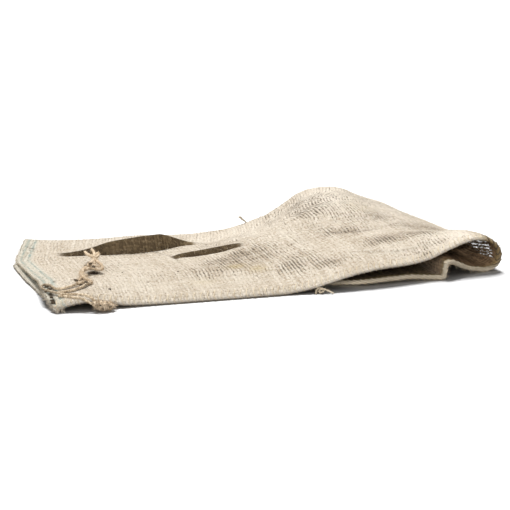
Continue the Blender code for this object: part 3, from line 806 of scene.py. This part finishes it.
class Nodes:
    """A material, with short ways to add shader nodes to it and link them."""

    def __init__(self, name, roughness, specular):
        self.material = bpy.data.materials.new(name)
        self.material.use_nodes = True
        self.tree = self.material.node_tree
        self.shader = self.tree.nodes["Principled BSDF"].inputs
        self.shader["Roughness"].default_value = roughness
        self.shader["Specular IOR Level"].default_value = specular

    def put(self, value, socket):
        if isinstance(value, Wire):
            self.tree.links.new(value.socket, socket)
        else:
            socket.default_value = value

    def add(self, kind, values, output=0, **settings):
        """A node with these settings, its inputs set or linked by name or number."""
        node = self.tree.nodes.new("ShaderNode" + kind)
        for name, value in settings.items():
            setattr(node, name, value)
        for name, value in values.items():
            self.put(value, node.inputs[name])
        return Wire(self, node.outputs[output])

    def math(self, kind, *values, clamp=False):
        return self.add("Math", dict(enumerate(values)), operation=kind, use_clamp=clamp)

    def attribute(self, name, output="Fac"):
        return self.add("Attribute", {}, output, attribute_name=name)

    def noise(self, where, scale, detail=2.0, rough=0.5):
        return self.add("TexNoise", dict(Vector=where, Scale=scale, Detail=detail, Roughness=rough), "Fac")

    def grain(self, x, y, z, detail=1.0, rough=0.5):
        """Noise that is stretched by the scales already in x, y and z."""
        return self.noise(self.join(x, y, z), 1.0, detail, rough)

    def white(self, value, seed):
        """A random number for each whole number."""
        vector = self.join(value, seed, 0.0)
        return self.add("TexWhiteNoise", {"Vector": vector}, "Value", noise_dimensions="2D")

    def join(self, x, y, z):
        return self.add("CombineXYZ", dict(X=x, Y=y, Z=z))

    def remap(self, value, low, high, to_low, to_high):
        values = dict(enumerate((value, low, high, to_low, to_high)))
        return self.add("MapRange", values, interpolation_type="SMOOTHSTEP")

    def mix(self, share, one, two):
        one, two = ((*colour, 1) if isinstance(colour, tuple) else colour for colour in (one, two))
        return self.add("Mix", {0: share, 6: one, 7: two}, 2, data_type="RGBA")

    def bump(self, height, distance, strength):
        normal = self.add("Bump", dict(Height=height, Distance=distance, Strength=strength))
        self.put(normal, self.shader["Normal"])


def weave_material():
    """Plain weave of uneven jute yarn, with see-through gaps, coloured selvedge yarns and faint stains."""
    n = Nodes("jute_weave", roughness=0.95, specular=0.06)
    flat = n.attribute("flat_cloth", "Vector")
    u, v = (n.add("SeparateXYZ", {0: flat}, k) for k in (0, 1))
    jog = n.noise(flat, 75.0, 2.0, 0.6) - 0.5
    pull = (n.noise(flat, 9.0, 3.0, 0.6) - 0.5) * 4.4 + jog * 0.4
    across = u / WARP_PITCH + pull
    along = v / WEFT_PITCH + ((n.noise(n.join(v, u, 0.37), 11.0, 3.0, 0.6) - 0.5) * 3.6 + jog * 0.5)
    warp_id, weft_id = n.math("FLOOR", across), n.math("FLOOR", along)
    warp_off, weft_off = (n.math("ABSOLUTE", n.math("FRACT", way) - 0.5) for way in (across, along))

    # Slubs: each yarn is thicker and thinner along its run, and the weave opens in patches
    slub_warp = n.grain(warp_id * 0.71, v * 70.0, 0.0, 3.0, 0.7) - 0.5
    slub_weft = n.grain(weft_id * 0.83, u * 90.0, 4.0, 3.0, 0.7) - 0.5
    patchy = n.remap(n.noise(flat, 17.0, 4.0, 0.6), 0.42, 0.72, 0.0, 0.75)
    openness = n.math("MINIMUM", n.attribute("openness") * 0.9 + patchy * 0.6, 1.3)
    close = n.remap(v, 0.0, 0.03, 0.06, 0.0)
    calm = n.remap(n.attribute("from_seam"), 0.008, 0.034, 1.0, 0.0)
    torn = n.remap(n.grain(u * 240.0, v * 420.0, 13.0), 0.38, 0.56, 0.6, 1.5)
    base = (0.50 - openness * 0.115) + (close + calm * 0.05) - n.attribute("thin") * torn * 0.30
    half_warp, half_weft = base + slub_warp * 0.34, base + slub_weft * 0.40
    warp_round, weft_round = (
        n.math("SQRT", 1.0 - n.math("POWER", n.math("DIVIDE", off, half, clamp=True), 2.0))
        for off, half in ((warp_off, half_warp), (weft_off, half_weft))
    )
    side = n.math("MODULO", n.math("ABSOLUTE", warp_id + weft_id), 2.0) * 2.0 - 1.0
    warp_wave, weft_wave = (side * n.math("COSINE", off * math.pi) for off in (weft_off, warp_off))
    warp_high = warp_round * (warp_wave * 0.32 + 0.52)
    weft_high = weft_round * (0.72 - weft_wave * 0.28)
    warp_top = n.math("GREATER_THAN", warp_high, weft_high)
    fibre = n.noise(flat, 1500.0, 3.0, 0.7)

    # Colour: each yarn's own tone, streaks along it, painted shade where the weave opens, and painted light
    # that makes patches and edges paler
    own = warp_top * n.white(warp_id, 3.0) + (1.0 - warp_top) * n.white(weft_id, 11.0)
    streak = n.grain(u * 90.0, v * 520.0, 2.0, 3.0, 0.65)
    broad = n.noise(flat, 26.0, 3.0, 0.6)
    tone = own * 0.20 + streak * 0.34 + (broad + fibre * 1.3) * 0.24 + openness * 0.11
    colour = n.mix(n.remap(tone, 0.36, 0.82, 0.0, 1.0), JUTE_LIGHT, JUTE_DEEP)
    colour = n.mix(n.attribute("painted_light") * 0.55, colour, PAINTED_LIGHT_COLOUR)

    # Painted shade in dark dashes where neighbouring yarns part: long ones between crosswise yarns, short
    # ones the other way
    edge_id = n.math("FLOOR", along + 0.5)
    run = n.grain(edge_id * 0.61, u * 150.0, 9.0, 3.0, 0.75) + (openness - calm * 0.25) * 0.30
    chop = n.remap(n.grain(edge_id * 0.37, u * 240.0, 21.0), 0.36, 0.52, 0.45, 1.15)
    nick = n.remap(n.grain(edge_id * 0.29, u * 620.0, 33.0), 0.42, 0.53, 0.2, 1.6)
    each = n.white(edge_id, 17.0) + 0.35
    dash = n.math("MULTIPLY", n.remap(run, 0.535, 0.665, 0.0, 1.0), chop * nick * each, clamp=True)
    wide = openness * dash * 0.23 + 0.05
    weft_line = n.remap((0.5 - weft_off) - wide, -0.02, 0.09, 1.0, 0.0)
    hidden = 1.0 - n.math("SUBTRACT", warp_round, 0.35, clamp=True) * 0.5
    weft_gap_shade = weft_line * hidden * (dash * 0.94 + 0.06)
    side_run = n.grain(n.math("FLOOR", across + 0.5) * 0.53, v * 190.0, 5.0, 2.0, 0.6)
    side_dash = n.remap(side_run + openness * 0.16, 0.54, 0.76, 0.0, 1.0)
    warp_gap_shade = n.remap(0.5 - warp_off, 0.05, 0.15, 1.0, 0.0) * side_dash * 0.6
    dotted = n.remap(n.grain(u * 150.0, v * 260.0, 1.0), 0.35, 0.6, 0.3, 1.0)
    dark = n.math("MAXIMUM", weft_gap_shade, warp_gap_shade)
    dark = n.math("MAXIMUM", dark, n.attribute("crease_shade") * dotted * 0.85)

    # Coarse grain: painted highlight where yarns stand proud and painted shade where they sink, in short
    # lengths, crosswise ones most
    coarse = n.grain(u * 190.0, v * 330.0, 7.0, 2.0, 0.6)
    proud_highlight = n.remap(coarse, 0.30, 0.46, 0.62, 0.0)
    colour = n.mix(n.remap(coarse, 0.55, 0.72, 0.0, 0.72), colour, JUTE_SUNK_SHADE)
    colour = n.mix(proud_highlight, colour, JUTE_PROUD_HIGHLIGHT)
    colour = n.mix(dark * 0.95, colour, JUTE_GAP_SHADE)

    # The pleats' insides and the roll's get painted shade: darker browns that stand in for the shade in them
    fold = n.attribute("fold_shade")
    folded = n.mix(n.remap(own + coarse, 0.75, 1.3, 0.0, 0.8), PAINTED_FOLD_SHADE, PAINTED_FOLD_SHADE_DEEP)
    folded = n.mix(dark, n.mix(proud_highlight, folded, PAINTED_FOLD_SHADE_LIT), PAINTED_FOLD_SHADE_GAP)
    colour = n.mix(fold * 0.96, colour, folded)
    inside = n.mix(n.remap(own + fibre, 0.6, 1.3, 0.0, 0.7), PAINTED_ROLL_SHADE, PAINTED_ROLL_SHADE_DEEP)
    colour = n.mix(n.attribute("roll_painted_shade") * 0.96, colour, n.mix(dark, inside, PAINTED_ROLL_SHADE_GAP))

    # The selvedge's tint and its two coloured lines, then stains, painted shadow spots and specks
    unfolded = 1.0 - fold
    colour = n.mix(n.remap(v, 0.016, 0.022, 0.22, 0.0) * unfolded, colour, SELVEDGE_STRIP)
    for place, half in SELVEDGE_LINES:
        away = n.math("ABSOLUTE", v - place * MM) + pull * 0.0007
        line = n.remap(away, half * MM * 0.4, half * MM * 1.3, 1.0, 0.0)
        worn = n.remap(n.grain(u * 70.0, place, 0.0, 3.0, 0.7), 0.38, 0.66, 0.12, 0.9)
        colour = n.mix(line * worn * unfolded, colour, SELVEDGE_BLUE)
    colour = n.mix(n.attribute("stain") * 0.7, colour, STAIN)
    colour = n.mix(n.attribute("painted_spot_shadow"), colour, PAINTED_SPOT_SHADOW_DARK)
    colour = n.mix(n.remap(n.noise(flat, 330.0, 1.0), 0.735, 0.775, 0.0, 0.75), colour, SPECK)
    n.put(colour, n.shader["Base Color"])
    n.put(n.remap(n.math("MAXIMUM", warp_round, weft_round), 0.05, 0.30, 0.0, 1.0), n.shader["Alpha"])
    n.bump(n.math("MAXIMUM", warp_high, weft_high) + fibre * 0.55, 0.0013, 1.0)
    return n.material


def yarn_material(name, light, deep, fine, coarse):
    """Spun fibres in flecks of two colours, dark where the mesh says that they are shaded."""
    n = Nodes(name, roughness=0.9, specular=0.2)
    where = n.add("TexCoord", {}, "Object")
    fleck = n.noise(where, fine, 3.0, 0.6)
    tone = fleck * 0.6 + n.noise(where, coarse, 2.0) * 0.4
    colour = n.mix(n.remap(tone, 0.35, 0.65, 0.0, 1.0), light, deep)
    n.put(n.mix(n.attribute("shade"), colour, YARN_SHADE), n.shader["Base Color"])
    n.bump(fleck, 0.0004, 0.6)
    return n.material


# ---------------------------------------------------------------- twine, knots, stitches and loose fibres


def unit(vector):
    return vector / np.linalg.norm(vector)


def frames(line):
    """Two directions across a line at each of its points, carried along with little turning."""
    tangent = np.gradient(np.asarray(line, float), axis=0)
    tangent /= np.linalg.norm(tangent, axis=1, keepdims=True)
    side = np.cross(tangent[0], (0.0, 0.0, 1.0))
    if np.linalg.norm(side) < 0.2:
        side = np.cross(tangent[0], (0.0, 1.0, 0.0))
    sides = []
    for t in tangent:
        side = unit(side - t * side.dot(t))
        sides.append(side)
    return np.array(sides), np.cross(tangent, sides)


class Pile:
    """Many small closed shapes gathered into one mesh, each with how far it is darkened."""

    def __init__(self):
        self.points, self.faces, self.shades = [], [], []

    def tube(self, line, radius, around, shade=0.0, lobes=0, depth=0.0, pitch=1.0, phase=0.0):
        """Add a closed tube round a line. With lobes it is twisted, one turn in each pitch."""
        line = np.asarray(line, float)
        one, two = frames(line)
        angle = 2 * np.pi * np.arange(around) / around
        turn = phase + 2 * np.pi * run_along(line) / pitch
        wave = np.abs(np.cos(0.5 * lobes * (angle[None, :] - turn[:, None]))) if lobes else 1.0
        reach = np.broadcast_to(radius, (len(line),))[:, None] * (1 - depth + depth * wave)
        ring = one[:, None] * np.cos(angle)[None, :, None] + two[:, None] * np.sin(angle)[None, :, None]
        skin = line[:, None] + ring * reach[:, :, None]
        base, count = len(self.points), len(line) * around
        end = base + count - around
        self.points += [*skin.reshape(-1, 3).tolist(), list(line[0]), list(line[-1])]
        for a, b, c, d in ring_faces(len(line), around):
            self.faces.append((base + a, base + d, base + c, base + b))
        for i in range(around):
            k = (i + 1) % around
            self.faces += [(base + count, base + k, base + i), (base + count + 1, end + i, end + k)]
        self.shades += [shade] * (count + 2)

    def object(self, name, surface):
        points = placed(self.points)
        points[:, 2] = np.maximum(points[:, 2], 0)
        mesh = bpy.data.meshes.new(name)
        mesh.from_pydata(points.tolist(), [], self.faces)
        shades = np.array(self.shades, np.float32)
        mesh.attributes.new("shade", "FLOAT", "POINT").data.foreach_set("value", shades)
        mesh.shade_smooth()
        return link(name, mesh, surface)


def fibre(pile, random, start, direction, length, radius, curl=0.5, steps=5, shade=0.0):
    """One loose fibre that leaves start in a direction and curls."""
    heading, bend = unit(np.array(direction, float)), random.normal(size=3)
    points = [np.array(start, float)]
    for _ in range(steps):
        heading = unit(heading + bend * curl / steps + random.normal(size=3) * 0.12)
        at = points[-1] + heading * length / steps
        at[2] = max(at[2], 0.25)
        points.append(at)
    pile.tube(points, np.linspace(radius, radius * 0.45, len(points)), 3, shade)


def fuzz_line(pile, random, line, radius, count, length, thin):
    """Loose fibres along a line of twine."""
    one, two = frames(line)
    for _ in range(count):
        k = random.integers(1, len(line) - 1)
        a = random.uniform(0, 2 * np.pi)
        out = one[k] * np.cos(a) + two[k] * np.sin(a)
        way = out + unit(line[k] - line[k - 1]) * random.normal() * 0.9
        fibre(pile, random, line[k] + out * radius * 0.8, way, random.uniform(0.4, 1.0) * length, thin)


def frayed_end(pile, random, line, count, length, radius, spread=0.5):
    """A fan of loose yarn ends where a strand stops."""
    way = unit(line[-1] - line[-3])
    for _ in range(count):
        start = line[-1] - way * random.uniform(0, 2) + random.normal(size=3) * 0.4
        out = way + random.normal(size=3) * spread
        fibre(pile, random, start, out, random.uniform(0.5, 1) * length, radius, 0.6)


def knot_loops(pile, random, rows, count, twine):
    """A knot's body: a core darkened with painted shade, and many small tilted turns of twine round it."""
    line = route(rows, 0.8)
    pile.tube(line[:, :3], line[:, 3] * 0.66, 16, 0.5, lobes=3, depth=0.22, pitch=9.0)
    way = np.gradient(line[:, :3], axis=0)
    for k in range(count):
        j = int((k + random.uniform(0.2, 0.8)) / count * len(line))
        axis = unit(unit(way[j]) + random.normal(size=3) * 0.45)
        one = unit(np.cross(axis, random.normal(size=3)))
        two = np.cross(axis, one)
        turn = np.linspace(0, 2 * np.pi * random.uniform(0.8, 1.15), 26)[:, None]
        reach = max(line[j, 3] - twine * 0.42, 1.0) * random.uniform(0.85, 1.1)
        ring = line[j, :3] + (one * np.cos(turn) + two * np.sin(turn)) * reach * (1 + 0.12 * np.sin(3 * turn))
        ring[:, 2] = np.maximum(ring[:, 2], twine / 2 + 0.2)
        size = twine / 2 * random.uniform(0.8, 1.2)
        pile.tube(ring, size, 9, random.uniform(0, 0.2), lobes=2, depth=0.3, pitch=5.0)
    return line[:, :3]


def loose_strand(pile, random, rows, diameter, taper, fuzz, end, shade=0.0):
    """One short strand of a knot, twisted, with fibres along it and a frayed end.

    fuzz is how many fibres for each point and how long, and end is how many, how long and how thick.
    """
    line = route(rows, 0.8)
    radius = np.linspace(1, taper, len(line)) * diameter / 2
    pile.tube(line, radius, 10, shade, lobes=2, depth=0.3, pitch=7.5, phase=random.uniform(0, 6))
    fuzz_line(pile, random, line, diameter / 2, int(len(line) * fuzz[0]), fuzz[1], 0.12)
    frayed_end(pile, random, line, *end)


def to_camera():
    """The direction from the sack to the camera."""
    azimuth, elevation = math.radians(VIEW_AZIMUTH), math.radians(VIEW_ELEVATION)
    level = math.cos(elevation)
    return math.sin(azimuth) * level, -math.cos(azimuth) * level, math.sin(elevation)


def seen_at(across, down, height, sunk=0.0):
    """The place that a pixel of the photo shows at a height, to a tenth of a millimetre."""
    back = np.array(to_camera())
    right = unit(np.cross(-back, (0, 0, 1)))
    up = np.cross(right, -back)
    ray = ((across - PHOTO_MIDDLE) * right + (PHOTO_MIDDLE - down) * up) / PHOTO_LENS - back
    eye = VIEW_TARGET + back * VIEW_DISTANCE
    x, y, _ = eye + ray * (height - eye[2]) / ray[2]
    return round(float(x), 1), round(float(y), 1), height - sunk


def strand(name, rows, diameter, surface, pitch, dark_before=-99.0):
    """A cord's twisted tube, in shade nearer the mouth than dark_before, and its middle line."""
    line = route(rows, 0.7)
    pile = Pile()
    pile.tube(line, diameter * 0.56, 14, lobes=2, depth=0.32, pitch=pitch)
    pile.shades = list(0.45 * fade(dark_before - 3, dark_before + 5, np.array(pile.points)[:, 0]))
    return pile.object(name, surface), line


def cords(twine, knots, thread):
    """The tie's strands and the seam's tail, with their knots."""
    random = np.random.default_rng(TIE_SEED)
    loop, loop_line = strand("tie_loop", LOOP_ROUTE, TWINE, twine, TWINE_TWIST, LOOP_DARK_BEFORE)
    behind, behind_line = strand("tie_strand_back", BACK_ROUTE, TWINE, twine, TWINE_TWIST)
    front, front_line = strand("tie_strand_front", FRONT_ROUTE, TWINE, twine, TWINE_TWIST)
    tail, tail_line = strand("seam_thread", TAIL_ROUTE, THREAD, thread, THREAD_TWIST)

    far = Pile()
    for wide, sunk, points in FAR_STRANDS:
        rows = [seen_at(*point, sunk) for point in points]
        loose_strand(far, random, rows, wide, 1.0, (4.0, 4.0), (8, 4.5, 0.22), random.uniform(0, 0.15))
    for points in FAR_PRONGS:
        rows = [seen_at(*point) for point in points]
        loose_strand(far, random, rows, PRONG, 0.7, (3.0, 2.2), (8, 3.0, 0.3))
    far_knot = far.object("tie_knot_over_sack", knots)

    near = Pile()
    line = knot_loops(near, random, FRONT_KNOT, 15, 2.4)
    fuzz_line(near, random, line, 4.6, 300, 4.6, 0.16)
    frayed_end(near, random, line, 16, 6.0, 0.3)
    near_knot = near.object("tie_knot_at_front", knots)

    last = Pile()
    for rows in TAIL_STRANDS:
        loose_strand(last, random, rows, 2.0, 0.9, (2.5, 2.5), (6, 3.0, 0.15))
    last_knot = last.object("seam_thread_knot", thread)

    fuzz = Pile()
    for line in (loop_line, behind_line, front_line):
        fuzz_line(fuzz, random, line, TWINE / 2, int(len(line) * 1.3), 3.2, 0.07)
    loose = fuzz.object("tie_loose_fibres", twine)

    for made, node in (
        (loop, "tie_twine_loop"),
        (behind, "tie_twine_back"),
        (front, "tie_twine_front"),
        (tail, "seam_tail"),
        (far_knot, "tie_knot_back"),
        (near_knot, "tie_knot_front"),
        (last_knot, "seam_tail_knot"),
    ):
        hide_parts(node)
    for made in (loop, behind, front, far_knot, near_knot, loose):
        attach(made, "root")
    for made in (tail, last_knot):
        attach(made, "root")


def on_row(at, places, row):
    """A row's point or direction at a place between its columns."""
    return np.array([np.interp(at, places, row[:, k]) for k in range(3)])


def lifted_rows(grid, out, along, at):
    """Point and outward direction on each column at a distance along the cloth."""
    place = along[:, 0]
    k = np.clip(np.searchsorted(place, at) - 1, 0, len(place) - 2)
    t = (at - place[k]) / (place[k + 1] - place[k])
    return grid[k] * (1 - t) + grid[k + 1] * t, out[k] * (1 - t) + out[k + 1] * t


def seam_stitches(layers, thread):
    """Overcast stitches round the front edge, each with a short run along the cloth."""
    random = np.random.default_rng(STITCH_SEED)
    (outer, along, across), (inner, under_along, _) = layers
    out, back_out = normals(outer), -normals(inner)
    pile = Pile()
    at = 5.0
    while at < along[-1, 0] - 8:
        reach = STITCH_REACH + random.uniform(-1.2, 1.2)
        points = []
        path = ((1, reach, -0.4), (0.6, 0.62 * reach, 0.2), (0.25, 0.28 * reach, 0.2), (0, 0.4, 0.2))
        for forward, over, lift in path:
            row, way = lifted_rows(outer, out, along, at + forward * STITCH_SLANT)
            points.append(on_row(over, across[0], row) + on_row(over, across[0], way) * (SHEET / 2 + lift))
        row_a, _ = lifted_rows(outer, out, along, at - 0.4)
        row_b, way_b = lifted_rows(inner, back_out, under_along, at - 0.8)
        points.append((row_a[0] + row_b[0]) / 2 - (0, EDGE_NOSE + SHEET / 2 + 0.3, 0))
        points.append(row_b[0] + way_b[0] * (SHEET / 2 + 0.3))
        points.append(row_b[1] + way_b[1] * (SHEET / 2 - 0.2))
        points = np.array(points)
        points[:, 2] = np.maximum(points[:, 2], 0.55)
        radius = STITCH_RADIUS + random.uniform(-0.1, 0.16)
        pile.tube(route(points, 1.0), radius, 6, lobes=2, depth=0.2, pitch=3.0)
        at += STITCH_PITCH + random.uniform(-1.0, 1.0)
    pile.shades = list(0.9 * end_of_roll(np.array(pile.points)))
    return pile.object("seam_stitches", thread)


def cloth_fibres(layers, surface):
    """Short loose fibres all over the cloth, and more along its edges."""
    random = np.random.default_rng(FIBRE_SEED)
    grid = layers[0][0]
    out = normals(grid)
    rows, columns = grid.shape[:2]
    pile = Pile()
    made = 0
    while made < CLOTH_FIBRES:
        edge = random.uniform()
        j = random.integers(1, rows - 1)
        i = random.integers(0, columns) if edge < 0.68 else random.choice([0, 0, 0, 1, columns - 1])
        if edge > 0.93:
            j, i = 0, random.integers(0, columns)
        point, normal = grid[j, i], out[j, i]
        if point[2] < 4 and normal[2] < 0.3 and i >= 2:
            continue
        away = normal * random.uniform(0.3, 0.9) + random.normal(size=3) * 0.7
        away = away + (-0.9 * (j == 0), -0.8 * (i < 2), 0)
        if away.dot(normal) < 0.05 and i >= 2 and j > 0:
            continue
        start = point + normal * SHEET * 0.4
        fibre(pile, random, start, away, random.uniform(1.8, 5.2), random.uniform(0.08, 0.15), 0.9, 3)
        made += 1
    return pile.object("cloth_loose_fibres", surface)


def frayed_corner(layers, surface):
    """Yarn ends at the mouth's front corner, its tuft, dark bits of painted shade, and the far side's thread
    end.
    """
    random = np.random.default_rng(CORNER_SEED)
    pile = Pile()
    for (layer, _, _), lift in zip(layers, (0.2, -0.2)):
        for _ in range(CORNER_FIBRES):
            start = on_row(random.uniform(-2, 58), layer[0, :, 1], layer[0])
            start[2] += lift + random.normal() * 0.3
            way = (-1.0, random.normal() * 0.35 - 0.1, -0.2 + random.normal() * 0.35)
            size, dark = random.uniform(0.2, 0.6), random.uniform(0, 0.95) ** 2
            fibre(pile, random, start + (3.5, 0, 0), way, random.uniform(3.0, 8.0), size, 0.7, 5, dark)
    lip = layers[1][0][0]
    for _ in range(LIP_FIBRES):
        start = on_row(random.uniform(55, 212), lip[:, 1], lip)
        way = (-1.0, random.normal() * 0.4, random.normal() * 0.3)
        length, size = random.uniform(2.5, 5.0), random.uniform(0.12, 0.3)
        fibre(pile, random, start + (1.5, 0, 0), way, length, size, 0.6, 4)
    for _ in range(TUFT_FIBRES):
        start = np.array([random.uniform(3, 12), random.uniform(-2, 2), random.uniform(4.0, 8.0)])
        way = (random.normal() * 0.35 + 0.1, -0.6 + random.normal() * 0.3, -0.6 + random.normal() * 0.3)
        length, size, dark = random.uniform(3, 10), random.uniform(0.2, 0.5), random.uniform(0, 0.6) ** 2
        fibre(pile, random, start, way, length, size, 0.7, 5, dark)
    # Dark bits put as painted shade between the knots' strands
    for start, end, wide in KNOT_SHADE_BITS:
        line = route((start, tuple((a + b) / 2 + 0.3 for a, b in zip(start, end)), end), 0.6)
        pile.tube(line, wide / 2 * np.array([0.5] + [1.0] * (len(line) - 2) + [0.5]), 8, 0.93)
    over = layers[0][0]
    out = normals(over)
    # Dark bits put as painted shade in the cloth's small holes
    for x, y, wide in CLOTH_SHADE_BITS:
        off = np.hypot(over[..., 0] - x, over[..., 1] - y) + 99 * (out[..., 2] < 0.3)
        j, i = np.unravel_index(np.argmin(off), off.shape)
        z = (over[j, i] + out[j, i] * SHEET * 0.6)[2]
        slant = np.array([(-0.7, 0.4, 0), (0, 0, 0.2 / wide), (0.7, -0.4, 0)]) * wide
        pile.tube((x, y, z) + slant, wide / 2, 8, 1.0)
    thread = route(BACK_THREAD, 0.8)
    pile.tube(thread, np.linspace(1.0, 1.7, len(thread)), 8, 0.45, lobes=2, depth=0.3, pitch=4.0)
    frayed_end(pile, random, thread, 18, 3.0, 0.28, 0.8)
    return pile.object("frayed_yarn_ends", surface)


# ---------------------------------------------------------------- camera, stage and light


def look_from():
    """The camera, at the photo's viewing angle."""
    back = Vector(to_camera())
    data = bpy.data.cameras.new("camera")
    data.lens, data.sensor_width = LENS, SENSOR
    data.clip_start, data.clip_end = 0.05, 200
    camera = link("camera", data)
    camera.location = Vector(placed(VIEW_TARGET)) + back * VIEW_DISTANCE * MM
    camera.rotation_euler = back.to_track_quat("Z", "Y").to_euler()
    bpy.context.scene.camera = camera


def sun(name, source, strength, spread):
    """A distant light that comes from a direction, spread over an angle in degrees."""
    data = bpy.data.lights.new(name, "SUN")
    data.energy, data.angle = strength, math.radians(spread)
    lamp = link(name, data)
    lamp.rotation_euler = Vector(source).to_track_quat("Z", "Y").to_euler()
    return lamp


def paper(name, height, light):
    """A large flat sheet of pale paper."""
    n = Nodes(name, roughness=0.9, specular=0.1)
    grain = n.noise(n.add("TexCoord", {}, "Object"), 300.0)
    n.put(n.mix(grain, (light,) * 3, (light * 0.98,) * 3), n.shader["Base Color"])
    mesh = bpy.data.meshes.new(name)
    corners = [(x * FLOOR_REACH, y * FLOOR_REACH, height) for x, y in ((-1, -1), (1, -1), (1, 1), (-1, 1))]
    mesh.from_pydata(corners, [], [(0, 1, 2, 3)])
    floor = link(name, mesh, n.material)
    return floor


def stage():
    """A white floor that the camera sees, and a duller one just under it that gives less light from below."""
    seen = paper("floor", 0.0, FLOOR_SEEN)
    seen.visible_diffuse = seen.visible_glossy = seen.visible_transmission = False
    felt = paper("floor_bounce", -BOUNCE_DEPTH, FLOOR_BOUNCE)
    felt.visible_camera = False
    scene = bpy.context.scene
    scene.view_settings.view_transform = "Standard"
    scene.view_settings.look = "None"
    scene.world = bpy.data.worlds.new("studio")
    scene.world.use_nodes = True
    tree = scene.world.node_tree
    kinds = "TexCoord", "SeparateXYZ", "ValToRGB"
    where, parts, shade = (tree.nodes.new("ShaderNode" + kind) for kind in kinds)
    low, high = shade.color_ramp.elements
    low.position, low.color = 0.0, SKY_LOW
    high.position, high.color = 0.9, SKY_HIGH
    sky = tree.nodes["Background"].inputs
    sky["Strength"].default_value = SKY_STRENGTH
    tree.links.new(where.outputs["Generated"], parts.inputs[0])
    tree.links.new(parts.outputs["Z"], shade.inputs[0])
    tree.links.new(shade.outputs[0], sky["Color"])
    sun("softbox_above", *KEY_LIGHT)
    fill = sun("softbox_in_front", *FILL_LIGHT)
    unlit = bpy.data.collections.new("floor_without_front_light")
    for floor in (seen, felt):
        unlit.objects.link(floor)
    fill.light_linking.receiver_collection = unlit
    for part in unlit.collection_objects:
        part.light_linking.link_state = "EXCLUDE"


def main():
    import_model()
    look_from()
    twine, knots, thread = (yarn_material(*look) for look in (TWINE_LOOK, KNOT_LOOK, THREAD_LOOK))
    cords(twine, knots, thread)
    cloth, layers = build_cloth(weave_material())
    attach(cloth, "root")
    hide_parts("sack_cloth")
    stitches = seam_stitches(layers, thread)
    hairs = cloth_fibres(layers, yarn_material(*HAIR_LOOK))
    ends = frayed_corner(layers, yarn_material(*FRAYED_LOOK))
    for made, slot in ((stitches, "sewing_thread"), (hairs, "jute_cloth"), (ends, "jute_cloth")):
        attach(made, "root")
    stage()


main()
